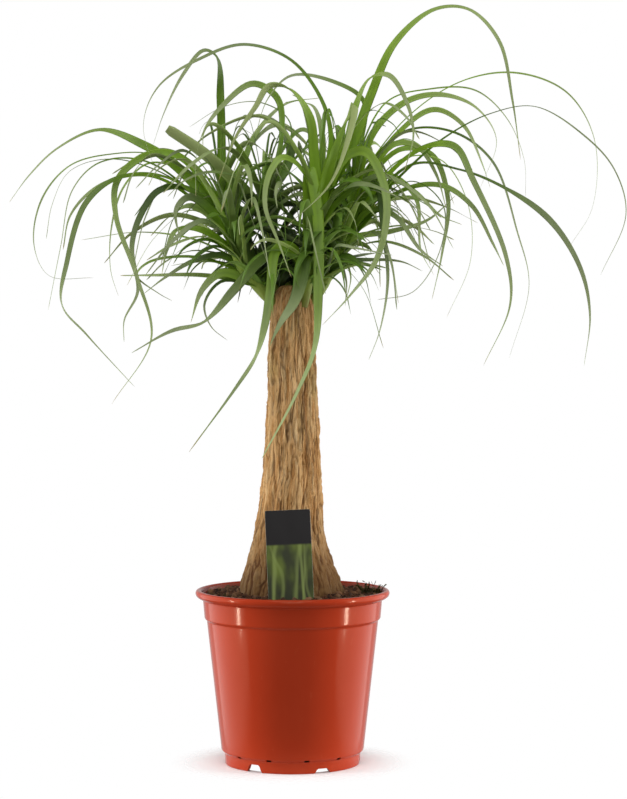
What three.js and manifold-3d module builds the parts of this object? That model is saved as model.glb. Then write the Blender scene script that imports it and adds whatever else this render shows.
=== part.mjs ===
// Potted ponytail palm: a ridged trunk with a swollen foot in potting soil, with six leafy shoots that grow
// from its cut top. Millimetres, +Z up, the origin in the middle of the pot's underside, front towards -Y.
import * as THREE from "three";
import { mergeVertices } from "three/addons/utils/BufferGeometryUtils.js";
import Module from "manifold-3d";

const wasm = await Module();
wasm.setup();

// Driving dimensions
const POT_HEIGHT = 170;
const RIM_RADIUS = 95;
const FOOT_HEIGHT = 11;
const FOOT_RADIUS = 66.5;
const FLOOR_UNDERSIDE = 8;
const FLOOR_TOP = 10.5;
const CENTRE_FOOT_RADIUS = 17;
const NOTCHES = 6;
const FIRST_NOTCH = -34; // degrees round from the front
const SOIL_TOP = 165;
const FIT = 0.35; // clearance between a piece and what holds it
const ROUND = 40; // sides of a turned piece
const LABEL_WIDTH = 43.5;
const LABEL_HEIGHT = 92;
const LABEL_THICKNESS = 0.9;
const STAKE_WIDTH = 12;
const STAKE_LENGTH = 52;
const BARK_SIDES = 30;
const BARK_RINGS = 20;

// Turned outline of the pot: up the outside, over the rim and down the inside, as [radius, height]
const POT_OUTLINE = [
  [0, 0], [CENTRE_FOOT_RADIUS, 0], [CENTRE_FOOT_RADIUS + 1, FLOOR_UNDERSIDE],
  [FOOT_RADIUS - 5, FLOOR_UNDERSIDE], [FOOT_RADIUS - 4, 0], [FOOT_RADIUS - 0.5, 0],
  [FOOT_RADIUS, FOOT_HEIGHT], [69.6, FOOT_HEIGHT + 2.5], [83.8, 140.5], [86, 142.5], [87.6, 161],
  [91.6, 162.2], [94.3, 164.4], [RIM_RADIUS, 167], [RIM_RADIUS - 0.7, 169], [RIM_RADIUS - 2.4, POT_HEIGHT],
  [90.4, POT_HEIGHT], [88.8, 168.5], [85.7, 158], [84, 144], [81.8, 138.5], [67.4, 14], [65, FLOOR_TOP],
  [0, FLOOR_TOP],
];

// The trunk's radius at each height, from the buried bulb to the cut top
const TRUNK_OUTLINE = [
  [0, 92], [16, 93], [33, 108], [46, 132], [51.5, 155], [51, 168], [45.2, 188], [38.8, 206], [33, 232],
  [29.5, 262], [27.6, 292], [25.2, 340], [23.2, 385], [22.2, 420], [20.4, 446], [17, 459], [11, 466], [0, 467],
];
const TRUNK_ROOTS = [
  { turn: 15, reach: 44, end: 40 }, { turn: 88, reach: 36, end: 62 }, { turn: 160, reach: 46, end: 34 },
  { turn: 231, reach: 38, end: 56 }, { turn: 302, reach: 45, end: 30 },
];

// Each shoot's stem from its socket in the trunk to its growing point, and how many smaller leaves it has
const SHOOTS = {
  main: { stem: [[10, -12, 446], [15, -12, 476], [21, -15, 515], [27, -15, 562]], extra: 22, turn: 70 },
  left: { stem: [[-15, -3, 446], [-29, -5, 462], [-48, -6, 484], [-60, -6, 512]], extra: 30, turn: 200 },
  right: { stem: [[15.5, 1, 446], [29, 3, 468], [45, 4, 503], [62, 4, 548]], extra: 24, turn: 330 },
  back_left: { stem: [[-12, 10, 446], [-22, 24, 472], [-48, 36, 508], [-74, 42, 548]], extra: 26, turn: 140 },
  back: { stem: [[-1, 15.5, 446], [-8, 34, 476], [-20, 48, 512], [-30, 54, 554]], extra: 30, turn: 100 },
  back_right: { stem: [[10.5, 12, 446], [22, 26, 476], [38, 40, 515], [52, 48, 556]], extra: 26, turn: 40 },
};
const STEM_RADII = [5, 6.4, 6, 4.2];

// The leaves that show in the front view. Each row: shoot, place along its stem, width, depth of the tip (y), how
// far the blade turns its upper side to the front in degrees, evenly spaced along it (0 is edge on, 90 is full
// face), then the points that it passes through, as [x, z]. A leaf with a cut tip ends with the share of its width
// that the tip keeps.
const DRAWN_LEAVES = [
  ["back_left", 0.85, 9.5, 60, [85, 90, 80, 30, 25, 35, 30],
    [[-117, 587], [-149, 607], [-191, 621], [-233, 603], [-262, 576], [-282, 550]]],
  ["back_left", 0.95, 3, 130, [30, 20, 30, 45, 85, 60, 20, 10],
    [[-132, 595], [-183, 598], [-224, 587], [-253, 554], [-262, 509], [-248, 478], [-204, 476]]],
  ["back_left", 0.9, 2, 170, [40, 30, 60], [[-133, 581], [-185, 595], [-227, 584], [-247, 552], [-256, 517]]],
  ["back_left", 0.75, 2.5, 95, [40, 50, 60, 30], [[-142, 589], [-191, 590], [-220, 563], [-233, 507], [-247, 443]]],
  ["back_left", 0.7, 6, 10, [30, 35, 45, 80, 60], [[-126, 570], [-156, 575], [-192, 563], [-217, 536], [-224, 502]]],
  ["back_left", 0.6, 7, -60, [30, 20, 35, 70, 90, 8, 65, 10],
    [[-120, 571], [-168, 572], [-200, 547], [-218, 488], [-221, 448], [-197, 420], [-150, 370]]],
  ["back_left", 0.8, 8, -30, [40, 60, 85, 85, 60, 90, 50, 10],
    [[-111, 593], [-142, 595], [-171, 570], [-172, 535], [-152, 477], [-137, 415], [-175, 352]]],
  ["back_left", 0.9, 3.5, 110, [30, 30, 50, 80, 50, 20],
    [[-107, 580], [-143, 589], [-169, 566], [-182, 527], [-184, 484], [-177, 457]]],
  ["back_left", 0.55, 7.5, 0, [30, 45, 80, 80, 60, 45, 30],
    [[-101, 561], [-131, 560], [-150, 533], [-157, 504], [-151, 461], [-164, 433], [-164, 412]]],
  ["back", 0.8, 13, -30, [-90, -90, -85, -80], [[-40, 552], [-57, 570], [-86, 595], [-120, 617]], 0.75],
  ["back_left", 0.95, 8.5, 30, [85, 85, 90, 15, 45, 60, 30, 10],
    [[-70, 592], [-71, 651], [-75, 692], [-87, 698], [-107, 675], [-126, 637], [-137, 605]]],
  ["back", 0.95, 8.5, 0, [60, 40, 70, 85, 80, 50, 20],
    [[-12, 612], [-15, 651], [-39, 665], [-70, 641], [-86, 617], [-87, 602]]],
  ["back_left", 1, 7, 95, [60, 80, 60, 30], [[-51, 585], [-37, 618], [-8, 649], [29, 657]]],
  ["back", 1, 10, 95, [90, 90, 80, 60, 30], [[-7, 583], [-2, 603], [-14, 628], [-36, 639], [-49, 631]]],
  ["main", 0.95, 5, 50, [70, 60, 45, 40, 55, 85, 60, 25, 10],
    [[37, 608], [28, 646], [-2, 685], [-47, 700], [-89, 687], [-130, 660], [-145, 622], [-126, 560]]],
  ["main", 0.85, 10, -70, [85, 85, 70, 20, -70, -88, -80, -40],
    [[20, 598], [16, 628], [-2, 653], [-22, 656], [-35, 636], [-54, 606], [-70, 564]]],
  ["main", 0.9, 9.5, -20, [90, 90, 80, 55, 35, 35, 65, 85, 30],
    [[56, 598], [75, 648], [99, 700], [137, 732], [170, 732], [199, 702], [212, 646], [220, 588]]],
  ["main", 0.95, 8, -60, [60, 80, 60, 15, 75, 85, 60, 30],
    [[51, 598], [62, 641], [75, 665], [92, 667], [108, 643], [115, 610], [106, 574]]],
  ["back_right", 0.9, 5.5, 20, [40, 60, 75, 80, 60, 40, 20],
    [[68, 612], [70, 649], [42, 667], [-1, 673], [-24, 650], [-36, 615]]],
  ["main", 0.75, 11.5, -120, [85, 85, 30, -80, -75, -50, -20],
    [[35, 580], [49, 620], [59, 636], [54, 608], [35, 560], [-7, 519]]],
  ["main", 1, 9.5, 60, [90, 90, 80, 60], [[23, 585], [18, 620], [9, 650], [0, 657]]],
  ["main", 1, 7, 30, [90, 85, 70, 40], [[29, 584], [28, 619], [21, 641], [10, 647]]],
  ["main", 0.7, 8, -75, [20, 30, 60, 88, 85, 60, 20],
    [[10, 576], [-9, 589], [-22, 573], [-26, 542], [-13, 507], [-1, 474]]],
  ["back", 0.9, 2, 90, [30, 50, 20], [[-2, 628], [-31, 650], [-68, 647], [-104, 627]]],
  ["right", 0.95, 7, 40, [50, 75, 80, 75, 45, 25, 10],
    [[78, 614], [110, 646], [145, 654], [180, 642], [201, 611], [186, 564]]],
  ["back_right", 0.9, 2.5, 130, [30, 30, 45, 70, 60, 30, 10],
    [[92, 648], [138, 664], [184, 664], [217, 637], [236, 596], [239, 559]]],
  ["right", 0.75, 3, -60, [60, 60, 45, 25, 20, 60, 80, 40, 10],
    [[105, 573], [148, 610], [191, 632], [233, 638], [280, 609], [307, 577], [317, 534], [292, 476]]],
  ["back_right", 0.95, 2.5, 80, [20, 20, 30, 70, 85, 45, 15, 10],
    [[112, 632], [168, 670], [223, 679], [274, 660], [302, 614], [301, 546], [279, 507]]],
  ["right", 0.65, 9, -30, [30, 15, 12, 25, 85, 90, 55, 15],
    [[115, 583], [161, 579], [205, 561], [249, 530], [278, 484], [287, 438], [281, 389]]],
  ["right", 0.8, 8.5, -95, [60, 35, 45, 85, 85, 75, 50, 10],
    [[104, 584], [133, 601], [156, 599], [172, 567], [202, 495], [205, 448], [179, 391]]],
  ["back_right", 0.8, 6.5, 70, [40, 45, 85, 80, 40, 20],
    [[107, 620], [141, 642], [170, 627], [190, 587], [198, 565]]],
  ["right", 0.6, 7.5, 40, [40, 30, 60, 85, 80, 40],
    [[103, 557], [145, 565], [176, 546], [198, 508], [209, 487]]],
  ["back_right", 0.85, 4, 100, [30, 30, 50, 70, 60, 40, 10],
    [[107, 618], [158, 621], [200, 592], [226, 522], [239, 468], [220, 394]]],
  ["right", 0.9, 2, 80, [20, 60, 20], [[106, 590], [146, 591], [173, 552], [178, 493], [155, 435]]],
  ["back_right", 0.75, 7, 20, [30, 50, 85, 90, 60, 20], [[106, 601], [138, 596], [154, 552], [148, 499], [138, 453]]],
  ["right", 0.85, 7, 10, [30, 60, 90, 85, 40], [[97, 603], [121, 603], [140, 576], [150, 543]]],
  ["right", 0.7, 6, 60, [40, 80, 80, 50, 20], [[101, 569], [122, 552], [127, 503], [141, 478]]],
  ["right", 0.75, 2, -20, [20, 50, 20], [[115, 568], [146, 545], [143, 501], [117, 461], [82, 453]]],
  ["main", 0.65, 10.5, -95, [40, 60, 88, 85, 60, 30, 10],
    [[51, 588], [70, 594], [89, 553], [81, 495], [54, 457], [28, 429]]],
  ["right", 0.55, 5.5, -75, [60, 85, 60, 30, 10], [[80, 564], [87, 520], [91, 472], [83, 424], [72, 396]]],
  ["right", 0.3, 5, 10, [60, 80, 60, 30], [[51, 489], [78, 492], [107, 490], [127, 481]]],
  ["right", 0.4, 7, -20, [60, 75, 70, 30], [[56, 511], [95, 519], [131, 530], [157, 553]]],
  ["right", 0.5, 7, -40, [60, 80, 80, 40], [[75, 540], [99, 534], [123, 501], [144, 485]]],
  ["back_right", 0.6, 6, 60, [50, 75, 60, 30], [[92, 576], [122, 560], [147, 537], [169, 528]]],
  ["right", 0.25, 4, -10, [60, 80, 30], [[44, 490], [52, 472], [51, 447]]],
  ["right", 0.35, 3.5, -40, [60, 60, 30], [[48, 493], [56, 476], [52, 455]]],
  ["main", 0.45, 12.5, -66, [85, 90, 90, 75, 30, 30, 30],
    [[17, 576], [24, 537], [25, 469], [22, 408], [5, 365], [-29, 302]], 0.12],
  ["main", 0.3, 16, -80, [85, 90, 88, 70, 30], [[13, 498], [8, 472], [1, 450], [-11, 431], [-22, 408]]],
  ["main", 0.35, 11, -95, [60, 80, 90, 85, 75, 20, 80, 40],
    [[-3, 503], [-16, 500], [-21, 465], [-26, 430], [-34, 400], [-54, 369], [-97, 310]]],
  ["main", 0.35, 12, -70, [60, 80, 88, 88, 12, 80, 45],
    [[-7, 504], [-29, 493], [-55, 464], [-85, 431], [-116, 423], [-154, 402]]],
  ["left", 0.45, 10, -25, [60, 80, 88, 40], [[-68, 479], [-87, 463], [-98, 431]]],
  ["left", 0.4, 3.5, 30, [60, 80, 60, 20], [[-69, 471], [-86, 449], [-80, 427], [-64, 413]]],
  ["left", 0.65, 7, -10, [60, 70, 60, 30], [[-69, 496], [-95, 491], [-124, 474], [-145, 458]]],
  ["left", 0.8, 8.5, -40, [50, 60, 30, 90, 30], [[-85, 519], [-111, 520], [-120, 503], [-125, 477]]],
  ["left", 0.75, 2.5, 70, [30, 60, 20], [[-96, 512], [-151, 520], [-211, 513]]],
  ["left", 0.55, 3.5, 20, [40, 60, 60, 20], [[-90, 494], [-139, 490], [-152, 477], [-132, 460], [-118, 452]]],
  ["left", 0.95, 10, -30, [60, 70, 85, 80, 40], [[-78, 538], [-99, 552], [-112, 540], [-108, 510]]],
];

// Rules for the leaves
const GOLDEN_ANGLE = 137.5; // degrees from one leaf of a shoot to the next
const STEP_LENGTH = 38; // of a blade's straight pieces
const FEWEST_STEPS = 4;
const FINEST = 1.3; // width of a blade's tip
const KEEL = 1.4; // thickness of a blade along its midrib
const DEPTH_TURN = 1 / 400; // how much a leaf that leads to the back or the front turns with it, to a mm
const SAMPLE_LENGTH = 4; // along a blade, from one measurement of its clearance to the next
const CLEAR_TRUNK = 2.5; // between a blade and the trunk, beside its half width
const CLEAR_STEM = 7.2; // from the middle of a stem
const CLEAR_OTHER = 2.8; // between blades of two shoots, beside their half widths
const CLEAR_OWN = 0.6; // between blades of one shoot, past their bases
const BASE_PART = 0.2; // share of a blade that counts as its base
const LEAN_STEP = 7;
const LEAN_STEPS = 11;
const CELL = 14; // mm, the grid that finds near neighbours
const SEED = 2549;

const radians = THREE.MathUtils.degToRad;
const mix = THREE.MathUtils.lerp;
const vector = (x, y, z) => new THREE.Vector3(x, y, z);

// A closed three.js geometry as a solid that can be joined to others and cut
function solid(geometry) {
  const bare = geometry.clone();
  bare.deleteAttribute("normal");
  bare.deleteAttribute("uv");
  const merged = mergeVertices(bare, 1e-3);
  const triVerts = new Uint32Array(merged.index.array);
  const vertProperties = merged.attributes.position.array;
  return new wasm.Manifold(new wasm.Mesh({ numProp: 3, vertProperties, triVerts }));
}

function geometryOf(body) {
  const { vertProperties, triVerts } = body.getMesh();
  const geometry = new THREE.BufferGeometry();
  geometry.setAttribute("position", new THREE.BufferAttribute(vertProperties, 3));
  geometry.setIndex(new THREE.BufferAttribute(triVerts, 1));
  geometry.computeVertexNormals();
  return geometry;
}

// The outer skin of a fused body: a pocket that its blades close off is filled
function outerSkin(body) {
  return body.decompose().reduce((largest, piece) => (piece.volume() > largest.volume() ? piece : largest));
}

// Whether the quad p, q, r, s bulges outwards when it is folded from p to r
function bulges(p, q, r, s) {
  const fold = p.clone().add(r).sub(q).sub(s);
  return fold.dot(r.clone().sub(p).cross(s.clone().sub(q))) >= 0;
}

// A closed skin over a row of rings with the same number of points each, with its quads folded outwards on demand
function skin(rings, outwards = false) {
  const sides = rings[0].length;
  const index = [];
  for (let ring = 0; ring + 1 < rings.length; ring++) {
    for (let side = 0; side < sides; side++) {
      const next = (side + 1) % sides;
      const [a, b, c, d] = [side, next, next + sides, side + sides].map((corner) => corner + ring * sides);
      const [low, high] = [rings[ring], rings[ring + 1]];
      if (!outwards || bulges(low[side], low[next], high[next], high[side])) index.push(a, b, c, a, c, d);
      else index.push(a, b, d, b, c, d);
    }
  }
  const last = (rings.length - 1) * sides;
  for (let side = 1; side + 1 < sides; side++) {
    index.push(0, side + 1, side);
    index.push(last, last + side, last + side + 1);
  }
  const points = rings.flat().flatMap((point) => [point.x, point.y, point.z]);
  const geometry = new THREE.BufferGeometry();
  geometry.setAttribute("position", new THREE.Float32BufferAttribute(points, 3));
  geometry.setIndex(index);
  return geometry;
}

// A round tapered rod along a curve, a little thicker all round where grow is above 0
function rod(curve, radii, steps, sides, grow = 0) {
  const thickness = new THREE.SplineCurve(radii.map((r, i) => new THREE.Vector2(i, r)));
  const frames = curve.computeFrenetFrames(steps, false);
  const rings = [];
  for (let step = 0; step <= steps; step++) {
    const centre = curve.getPointAt(step / steps);
    if (step === 0) centre.addScaledVector(frames.tangents[0], -grow);
    if (step === steps) centre.addScaledVector(frames.tangents[steps], grow);
    const radius = thickness.getPoint(step / steps).y + grow;
    const ring = [];
    for (let side = 0; side < sides; side++) {
      const angle = (2 * Math.PI * side) / sides;
      ring.push(
        centre
          .clone()
          .addScaledVector(frames.normals[step], radius * Math.cos(angle))
          .addScaledVector(frames.binormals[step], radius * Math.sin(angle)),
      );
    }
    rings.push(ring);
  }
  return skin(rings);
}

// A piece turned about the upright axis from an outline of [radius, height]
function turned(outline, sides) {
  const profile = outline.map(([radius, height]) => new THREE.Vector2(radius, height));
  return new THREE.LatheGeometry(profile, sides).rotateX(Math.PI / 2);
}

// Pot: the turned body, less the notches in its foot, the slots beside them and the drain holes in its floor
function buildPot() {
  let pot = solid(turned(POT_OUTLINE, ROUND));
  for (let i = 0; i < NOTCHES; i++) {
    const turn = FIRST_NOTCH + (360 / NOTCHES) * i;
    const height = i % 2 === 0 ? 7.5 : 4.5;
    const foot = new THREE.Shape();
    foot.moveTo(-10, -1);
    foot.lineTo(10, -1);
    foot.lineTo(9, 0);
    foot.lineTo(5, height);
    foot.lineTo(-5, height);
    foot.lineTo(-9, 0);
    const notch = new THREE.ExtrudeGeometry(foot, { depth: 12, bevelEnabled: false });
    notch.rotateX(Math.PI / 2);
    notch.translate(0, -(FOOT_RADIUS - 7), 0);
    pot = pot.subtract(solid(notch.rotateZ(radians(turn))));
    for (const side of [-14.5, 14.5]) {
      const slot = new THREE.BoxGeometry(5, 16, 2.2);
      slot.translate(0, -FOOT_RADIUS, FOOT_HEIGHT + 1.5);
      pot = pot.subtract(solid(slot.rotateZ(radians(turn + side))));
    }
    const hole = new THREE.CylinderGeometry(5, 5, 8, 12).rotateX(Math.PI / 2);
    hole.translate(0, -42, (FLOOR_UNDERSIDE + FLOOR_TOP) / 2);
    pot = pot.subtract(solid(hole.rotateZ(radians(turn + 30))));
  }
  return pot;
}

// Trunk: the bark's ridges run up it, wandering a little, and fade out at both ends
function barkRelief(angle, height) {
  const wander = 0.25 * Math.sin(height / 37);
  const broad = Math.sin(5 * angle + 3 * wander + height / 90);
  const narrow = Math.sin(11 * angle - 6 * wander + 2 * Math.sin(height / 23));
  const fine = Math.sin(17 * angle + 5 * Math.sin(height / 31));
  const fade = Math.min(1, Math.max(0, (height - 100) / 40)) * Math.min(1, Math.max(0, (466 - height) / 20));
  return fade * (0.7 * broad + 0.8 * narrow + 0.5 * fine);
}

function trunkLean(height) {
  return -4 * Math.exp(-(((height - 215) / 45) ** 2));
}

function trunkBody(grow) {
  const outline = new THREE.SplineCurve(TRUNK_OUTLINE.map(([r, z]) => new THREE.Vector2(r, z)));
  const rings = [];
  for (let step = 1; step < BARK_RINGS; step++) {
    const place = outline.getPointAt(step / BARK_RINGS);
    const along = outline.getTangentAt(step / BARK_RINGS);
    const radius = place.x + grow * along.y;
    const height = place.y - grow * along.x;
    const ring = [];
    for (let side = 0; side < BARK_SIDES; side++) {
      const angle = (2 * Math.PI * side) / BARK_SIDES;
      const out = radius + barkRelief(angle, height);
      ring.push(vector(trunkLean(height) + out * Math.cos(angle), out * Math.sin(angle), height));
    }
    rings.push(ring);
  }
  return skin(rings);
}

function rootCurve({ turn, reach, end }) {
  const way = vector(Math.cos(radians(turn)), Math.sin(radians(turn)), 0);
  const points = [[8, 118], [0.55 * reach, 96], [0.8 * reach, 75], [reach, end]];
  return new THREE.CatmullRomCurve3(points.map(([out, up]) => way.clone().multiplyScalar(out).setZ(up)));
}

function trunkWithRoots(grow) {
  let trunk = solid(trunkBody(grow));
  for (const root of TRUNK_ROOTS) trunk = trunk.add(solid(rod(rootCurve(root), [9, 6, 4, 1.6], 4, 6, grow)));
  return trunk;
}

// Plant label: a rounded card with a stake under it, leaning back and a little to the left
function labelGeometry(grow) {
  const half = LABEL_WIDTH / 2 + grow;
  const stake = STAKE_WIDTH / 2 + grow;
  const top = LABEL_HEIGHT + grow;
  const corner = 2;
  const card = new THREE.Shape();
  card.moveTo(-stake, -STAKE_LENGTH - grow);
  card.lineTo(stake, -STAKE_LENGTH - grow);
  card.lineTo(stake, -12);
  card.lineTo(half, -grow);
  card.lineTo(half, top - corner);
  card.lineTo(half - corner, top);
  card.lineTo(corner - half, top);
  card.lineTo(-half, top - corner);
  card.lineTo(-half, -grow);
  card.lineTo(-stake, -12);
  const depth = LABEL_THICKNESS + 2 * grow;
  const geometry = new THREE.ExtrudeGeometry(card, { depth, bevelEnabled: false });
  geometry.translate(0, 0, -depth / 2);
  geometry.rotateX(Math.PI / 2);
  geometry.rotateY(radians(-2.5));
  geometry.rotateX(radians(-11));
  return geometry.translate(-1, -61, SOIL_TOP - 4);
}

// Soil: fills the pot to just under its rim, with an uneven top and plain holes for what stands in it
function soilBody() {
  const inset = FIT;
  const floor = FLOOR_TOP + inset;
  const outline = [[0, floor], [64.6, floor], [67 - inset, 14.5], [81.4 - inset, 138.6], [83.6 - inset, 144.2]];
  const rim = 83.6 - inset + (SOIL_TOP - 144.2) * 0.12;
  outline.push([rim, SOIL_TOP - 3]);
  for (const share of [0.94, 0.83, 0.72, 0.6]) outline.push([rim * share, SOIL_TOP]);
  outline.push([0, SOIL_TOP]);
  const geometry = turned(outline, ROUND);
  const place = geometry.attributes.position;
  for (let i = 0; i < place.count; i++) {
    if (place.getZ(i) < SOIL_TOP - 0.5) continue;
    const [x, y] = [place.getX(i), place.getY(i)];
    const lumps = Math.sin(x / 7 + 2 * Math.sin(y / 13)) * Math.cos(y / 6 + x / 17);
    place.setZ(i, SOIL_TOP + 1.2 * lumps + 2.5 * Math.exp(-(((Math.hypot(x, y) - 50) / 12) ** 2)));
  }
  return solid(geometry);
}

// The same draws each run
let state = SEED;
function draw() {
  state = (Math.imul(state, 1664525) + 1013904223) >>> 0;
  return state / 4294967296;
}

// A smooth curve through points, with each span's speed set by the root of its length
function spline(points, place) {
  const spans = points.length - 1;
  const span = Math.min(Math.floor(place * spans), spans - 1);
  const t = place * spans - span;
  const [b, c] = [points[span], points[span + 1]];
  const a = span > 0 ? points[span - 1] : b.clone().multiplyScalar(2).sub(c);
  const d = span < spans - 1 ? points[span + 2] : c.clone().multiplyScalar(2).sub(b);
  const before = Math.sqrt(a.distanceTo(b));
  const within = Math.sqrt(b.distanceTo(c));
  const after = Math.sqrt(c.distanceTo(d));
  const slope = (p, q, r, first, second) =>
    q.clone().sub(p).multiplyScalar(1 / first)
      .sub(r.clone().sub(p).multiplyScalar(1 / (first + second)))
      .add(r.clone().sub(q).multiplyScalar(1 / second));
  const start = slope(a, b, c, before, within).multiplyScalar(within);
  const end = slope(b, c, d, within, after).multiplyScalar(within);
  return b.clone().multiplyScalar(2 * t ** 3 - 3 * t ** 2 + 1)
    .addScaledVector(start, t ** 3 - 2 * t ** 2 + t)
    .addScaledVector(c, 3 * t ** 2 - 2 * t ** 3)
    .addScaledVector(end, t ** 3 - t ** 2);
}

function stemPoint(shoot, place) {
  return spline(SHOOTS[shoot].stem.map((point) => vector(...point)), place);
}

// A drawn leaf keeps its outline in the front view, so it may only lean back or forward
function drawnLeaf([shoot, place, wide, depth, turns, outline, cut = 0]) {
  const base = stemPoint(shoot, place);
  const count = outline.length;
  const points = outline.map(([x, z], i) => vector(x, mix(base.y, depth, (i + 1) / count), z));
  const side = Math.sign(points[count - 1].x - base.x);
  const across = vector((base.y - depth) * DEPTH_TURN, side, 0).normalize();
  const twists = turns.map((turn) => side * turn);
  return { shoot, wide, cut, twists, across, points: [base, ...points], lean: vector(0, 1, 0) };
}

// The smaller leaves stand round the stem by the golden angle, the upper ones steeper and the lower ones flatter
function ruledLeaf(shoot, number, count) {
  const height = (number + 0.5) / count;
  const base = stemPoint(shoot, mix(0.35, 1, height));
  const turn = radians(SHOOTS[shoot].turn + GOLDEN_ANGLE * number + 24 * (draw() - 0.5));
  const way = vector(Math.cos(turn), Math.sin(turn), 0);
  const across = vector(-way.y, way.x, 0);
  const reach = mix(55, 140, draw()) * mix(1, 1.3, Math.abs(way.y));
  const rise = mix(20, 84, height) * mix(0.6, 1.2, draw());
  const fall = Math.min(mix(10, 95, draw()), base.z + rise - mix(430, 510, draw()));
  const top = mix(0.42, 0.7, draw());
  const curl = mix(-45, 45, draw());
  const arch = [
    [0.4 * top, 0.62 * rise, 0], [top, rise, 0.15 * curl],
    [mix(top, 1, 0.62), rise - 0.38 * fall, 0.5 * curl], [1, rise - fall, curl],
  ];
  const points = arch.map(([out, up, aside]) =>
    base.clone().addScaledVector(way, out * reach).addScaledVector(across, aside).add(vector(0, 0, up)));
  const wide = mix(4, 9, draw());
  const twists = [mix(-40, 40, draw()), mix(-80, 80, draw()), mix(-110, 110, draw())];
  return { shoot, wide, cut: 0, twists, across, points: [base, ...points], lean: across };
}

// Half the blade's width: broad where it clasps the stem, then a long taper to a fine or a cut tip
function halfWidth(leaf, place) {
  const taper = 1 - (1 - leaf.cut) * place ** 2;
  const clasp = 1 + 0.25 * Math.exp(-place / 0.07);
  return 0.5 * Math.max(FINEST, leaf.wide * clasp * taper);
}

// The midrib as a row of straight pieces, of about one length each
function midrib(points) {
  const length = points.reduce((sum, point, i) => sum + (i > 0 ? point.distanceTo(points[i - 1]) : 0), 0);
  const steps = Math.max(FEWEST_STEPS, Math.round(length / STEP_LENGTH));
  return Array.from({ length: steps + 1 }, (_, step) => spline(points, step / steps));
}

// Points close together along the midrib, each with the half width of the blade there
function midribSamples(leaf) {
  const corners = midrib(leaf.points);
  const samples = [];
  for (let step = 0; step + 1 < corners.length; step++) {
    const parts = Math.ceil(corners[step].distanceTo(corners[step + 1]) / SAMPLE_LENGTH);
    for (let part = 0; part < parts; part++) {
      const share = (step + part / parts) / (corners.length - 1);
      const point = corners[step].clone().lerp(corners[step + 1], part / parts);
      samples.push({ share, point, radius: halfWidth(leaf, share) });
    }
  }
  return samples;
}

// Whether a blade stays clear of the trunk, the label and the blades and stems that are already placed
const placed = new Map();
const cellOf = (x, y, z) => `${Math.floor(x / CELL)},${Math.floor(y / CELL)},${Math.floor(z / CELL)}`;

function keep(shoot, point, radius, share) {
  const cell = cellOf(point.x, point.y, point.z);
  if (!placed.has(cell)) placed.set(cell, []);
  placed.get(cell).push({ shoot, point, radius, share });
}

function trunkRadiusAt(height) {
  for (let i = 1; i < TRUNK_OUTLINE.length; i++) {
    const [[lowRadius, low], [highRadius, high]] = [TRUNK_OUTLINE[i - 1], TRUNK_OUTLINE[i]];
    if (height >= low && height < high) return mix(lowRadius, highRadius, (height - low) / (high - low));
  }
  return 0;
}

function isClear(shoot, point, radius, share) {
  const trunk = share < 0.1 ? 0 : trunkRadiusAt(point.z);
  if (trunk > 0 && Math.hypot(point.x - trunkLean(point.z), point.y) < trunk + radius + CLEAR_TRUNK) return false;
  for (const dx of [-CELL, 0, CELL]) {
    for (const dy of [-CELL, 0, CELL]) {
      for (const dz of [-CELL, 0, CELL]) {
        for (const other of placed.get(cellOf(point.x + dx, point.y + dy, point.z + dz)) ?? []) {
          const own = other.shoot === shoot;
          if (own && (share < BASE_PART || other.share < BASE_PART)) continue;
          const room = radius + other.radius + (own ? CLEAR_OWN : CLEAR_OTHER);
          if (point.distanceTo(other.point) < room) return false;
        }
      }
    }
  }
  return true;
}

// Sets a leaf in its place: it leans aside, a little further each time, until it is clear, or it is left out
function settle(leaf) {
  for (let turn = 0; turn <= 2 * LEAN_STEPS; turn++) {
    const lean = LEAN_STEP * Math.ceil(turn / 2) * (turn % 2 === 0 ? 1 : -1);
    const last = leaf.points.length - 1;
    const points = leaf.points.map((point, i) => point.clone().addScaledVector(leaf.lean, (lean * i) / last));
    const samples = midribSamples({ ...leaf, points });
    if (!samples.every(({ share, point, radius }) => isClear(leaf.shoot, point, radius, share))) continue;
    for (const { share, point, radius } of samples) keep(leaf.shoot, point, radius, share);
    return { ...leaf, points };
  }
  return null;
}

// The twist at a share of the blade's length, from the evenly spaced ones that it is given
function twistAt(twists, place) {
  const spans = twists.length - 1;
  const span = Math.min(Math.floor(place * spans), spans - 1);
  return mix(twists[span], twists[span + 1], place * spans - span);
}

// Blade: a strip with a keel under it, which turns about its midrib from the base to the tip
function bladeGeometry(leaf) {
  const corners = midrib(leaf.points);
  const steps = corners.length - 1;
  const { across } = leaf;
  const rings = [];
  for (let step = 0; step <= steps; step++) {
    const place = step / steps;
    const centre = corners[step];
    const before = spline(leaf.points, Math.max(0, place - 0.01));
    const tangent = spline(leaf.points, Math.min(1, place + 0.01)).sub(before).normalize();
    const wide = across.clone().addScaledVector(tangent, -across.dot(tangent)).normalize();
    wide.applyAxisAngle(tangent, radians(twistAt(leaf.twists, place)));
    const face = tangent.clone().cross(wide);
    const half = halfWidth(leaf, place);
    const keel = centre.clone().addScaledVector(face, -mix(KEEL, 0.8, place));
    rings.push([centre.clone().addScaledVector(wide, half), centre.clone().addScaledVector(wide, -half), keel]);
  }
  return skin(rings, true);
}

// The stems are placed first, then the drawn leaves, then the smaller ones by turns
function growShoots() {
  const leaves = [];
  for (const shoot of Object.keys(SHOOTS)) {
    for (let i = 0; i <= 24; i++) keep(shoot, stemPoint(shoot, i / 24), CLEAR_STEM, 0);
  }
  for (const row of DRAWN_LEAVES) leaves.push(settle(drawnLeaf(row)));
  const most = Math.max(...Object.values(SHOOTS).map(({ extra }) => extra));
  for (let number = 0; number < most; number++) {
    for (const [shoot, { extra }] of Object.entries(SHOOTS)) {
      if (number < extra) leaves.push(settle(ruledLeaf(shoot, number, extra)));
    }
  }
  return leaves.filter((leaf) => leaf !== null);
}

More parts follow.
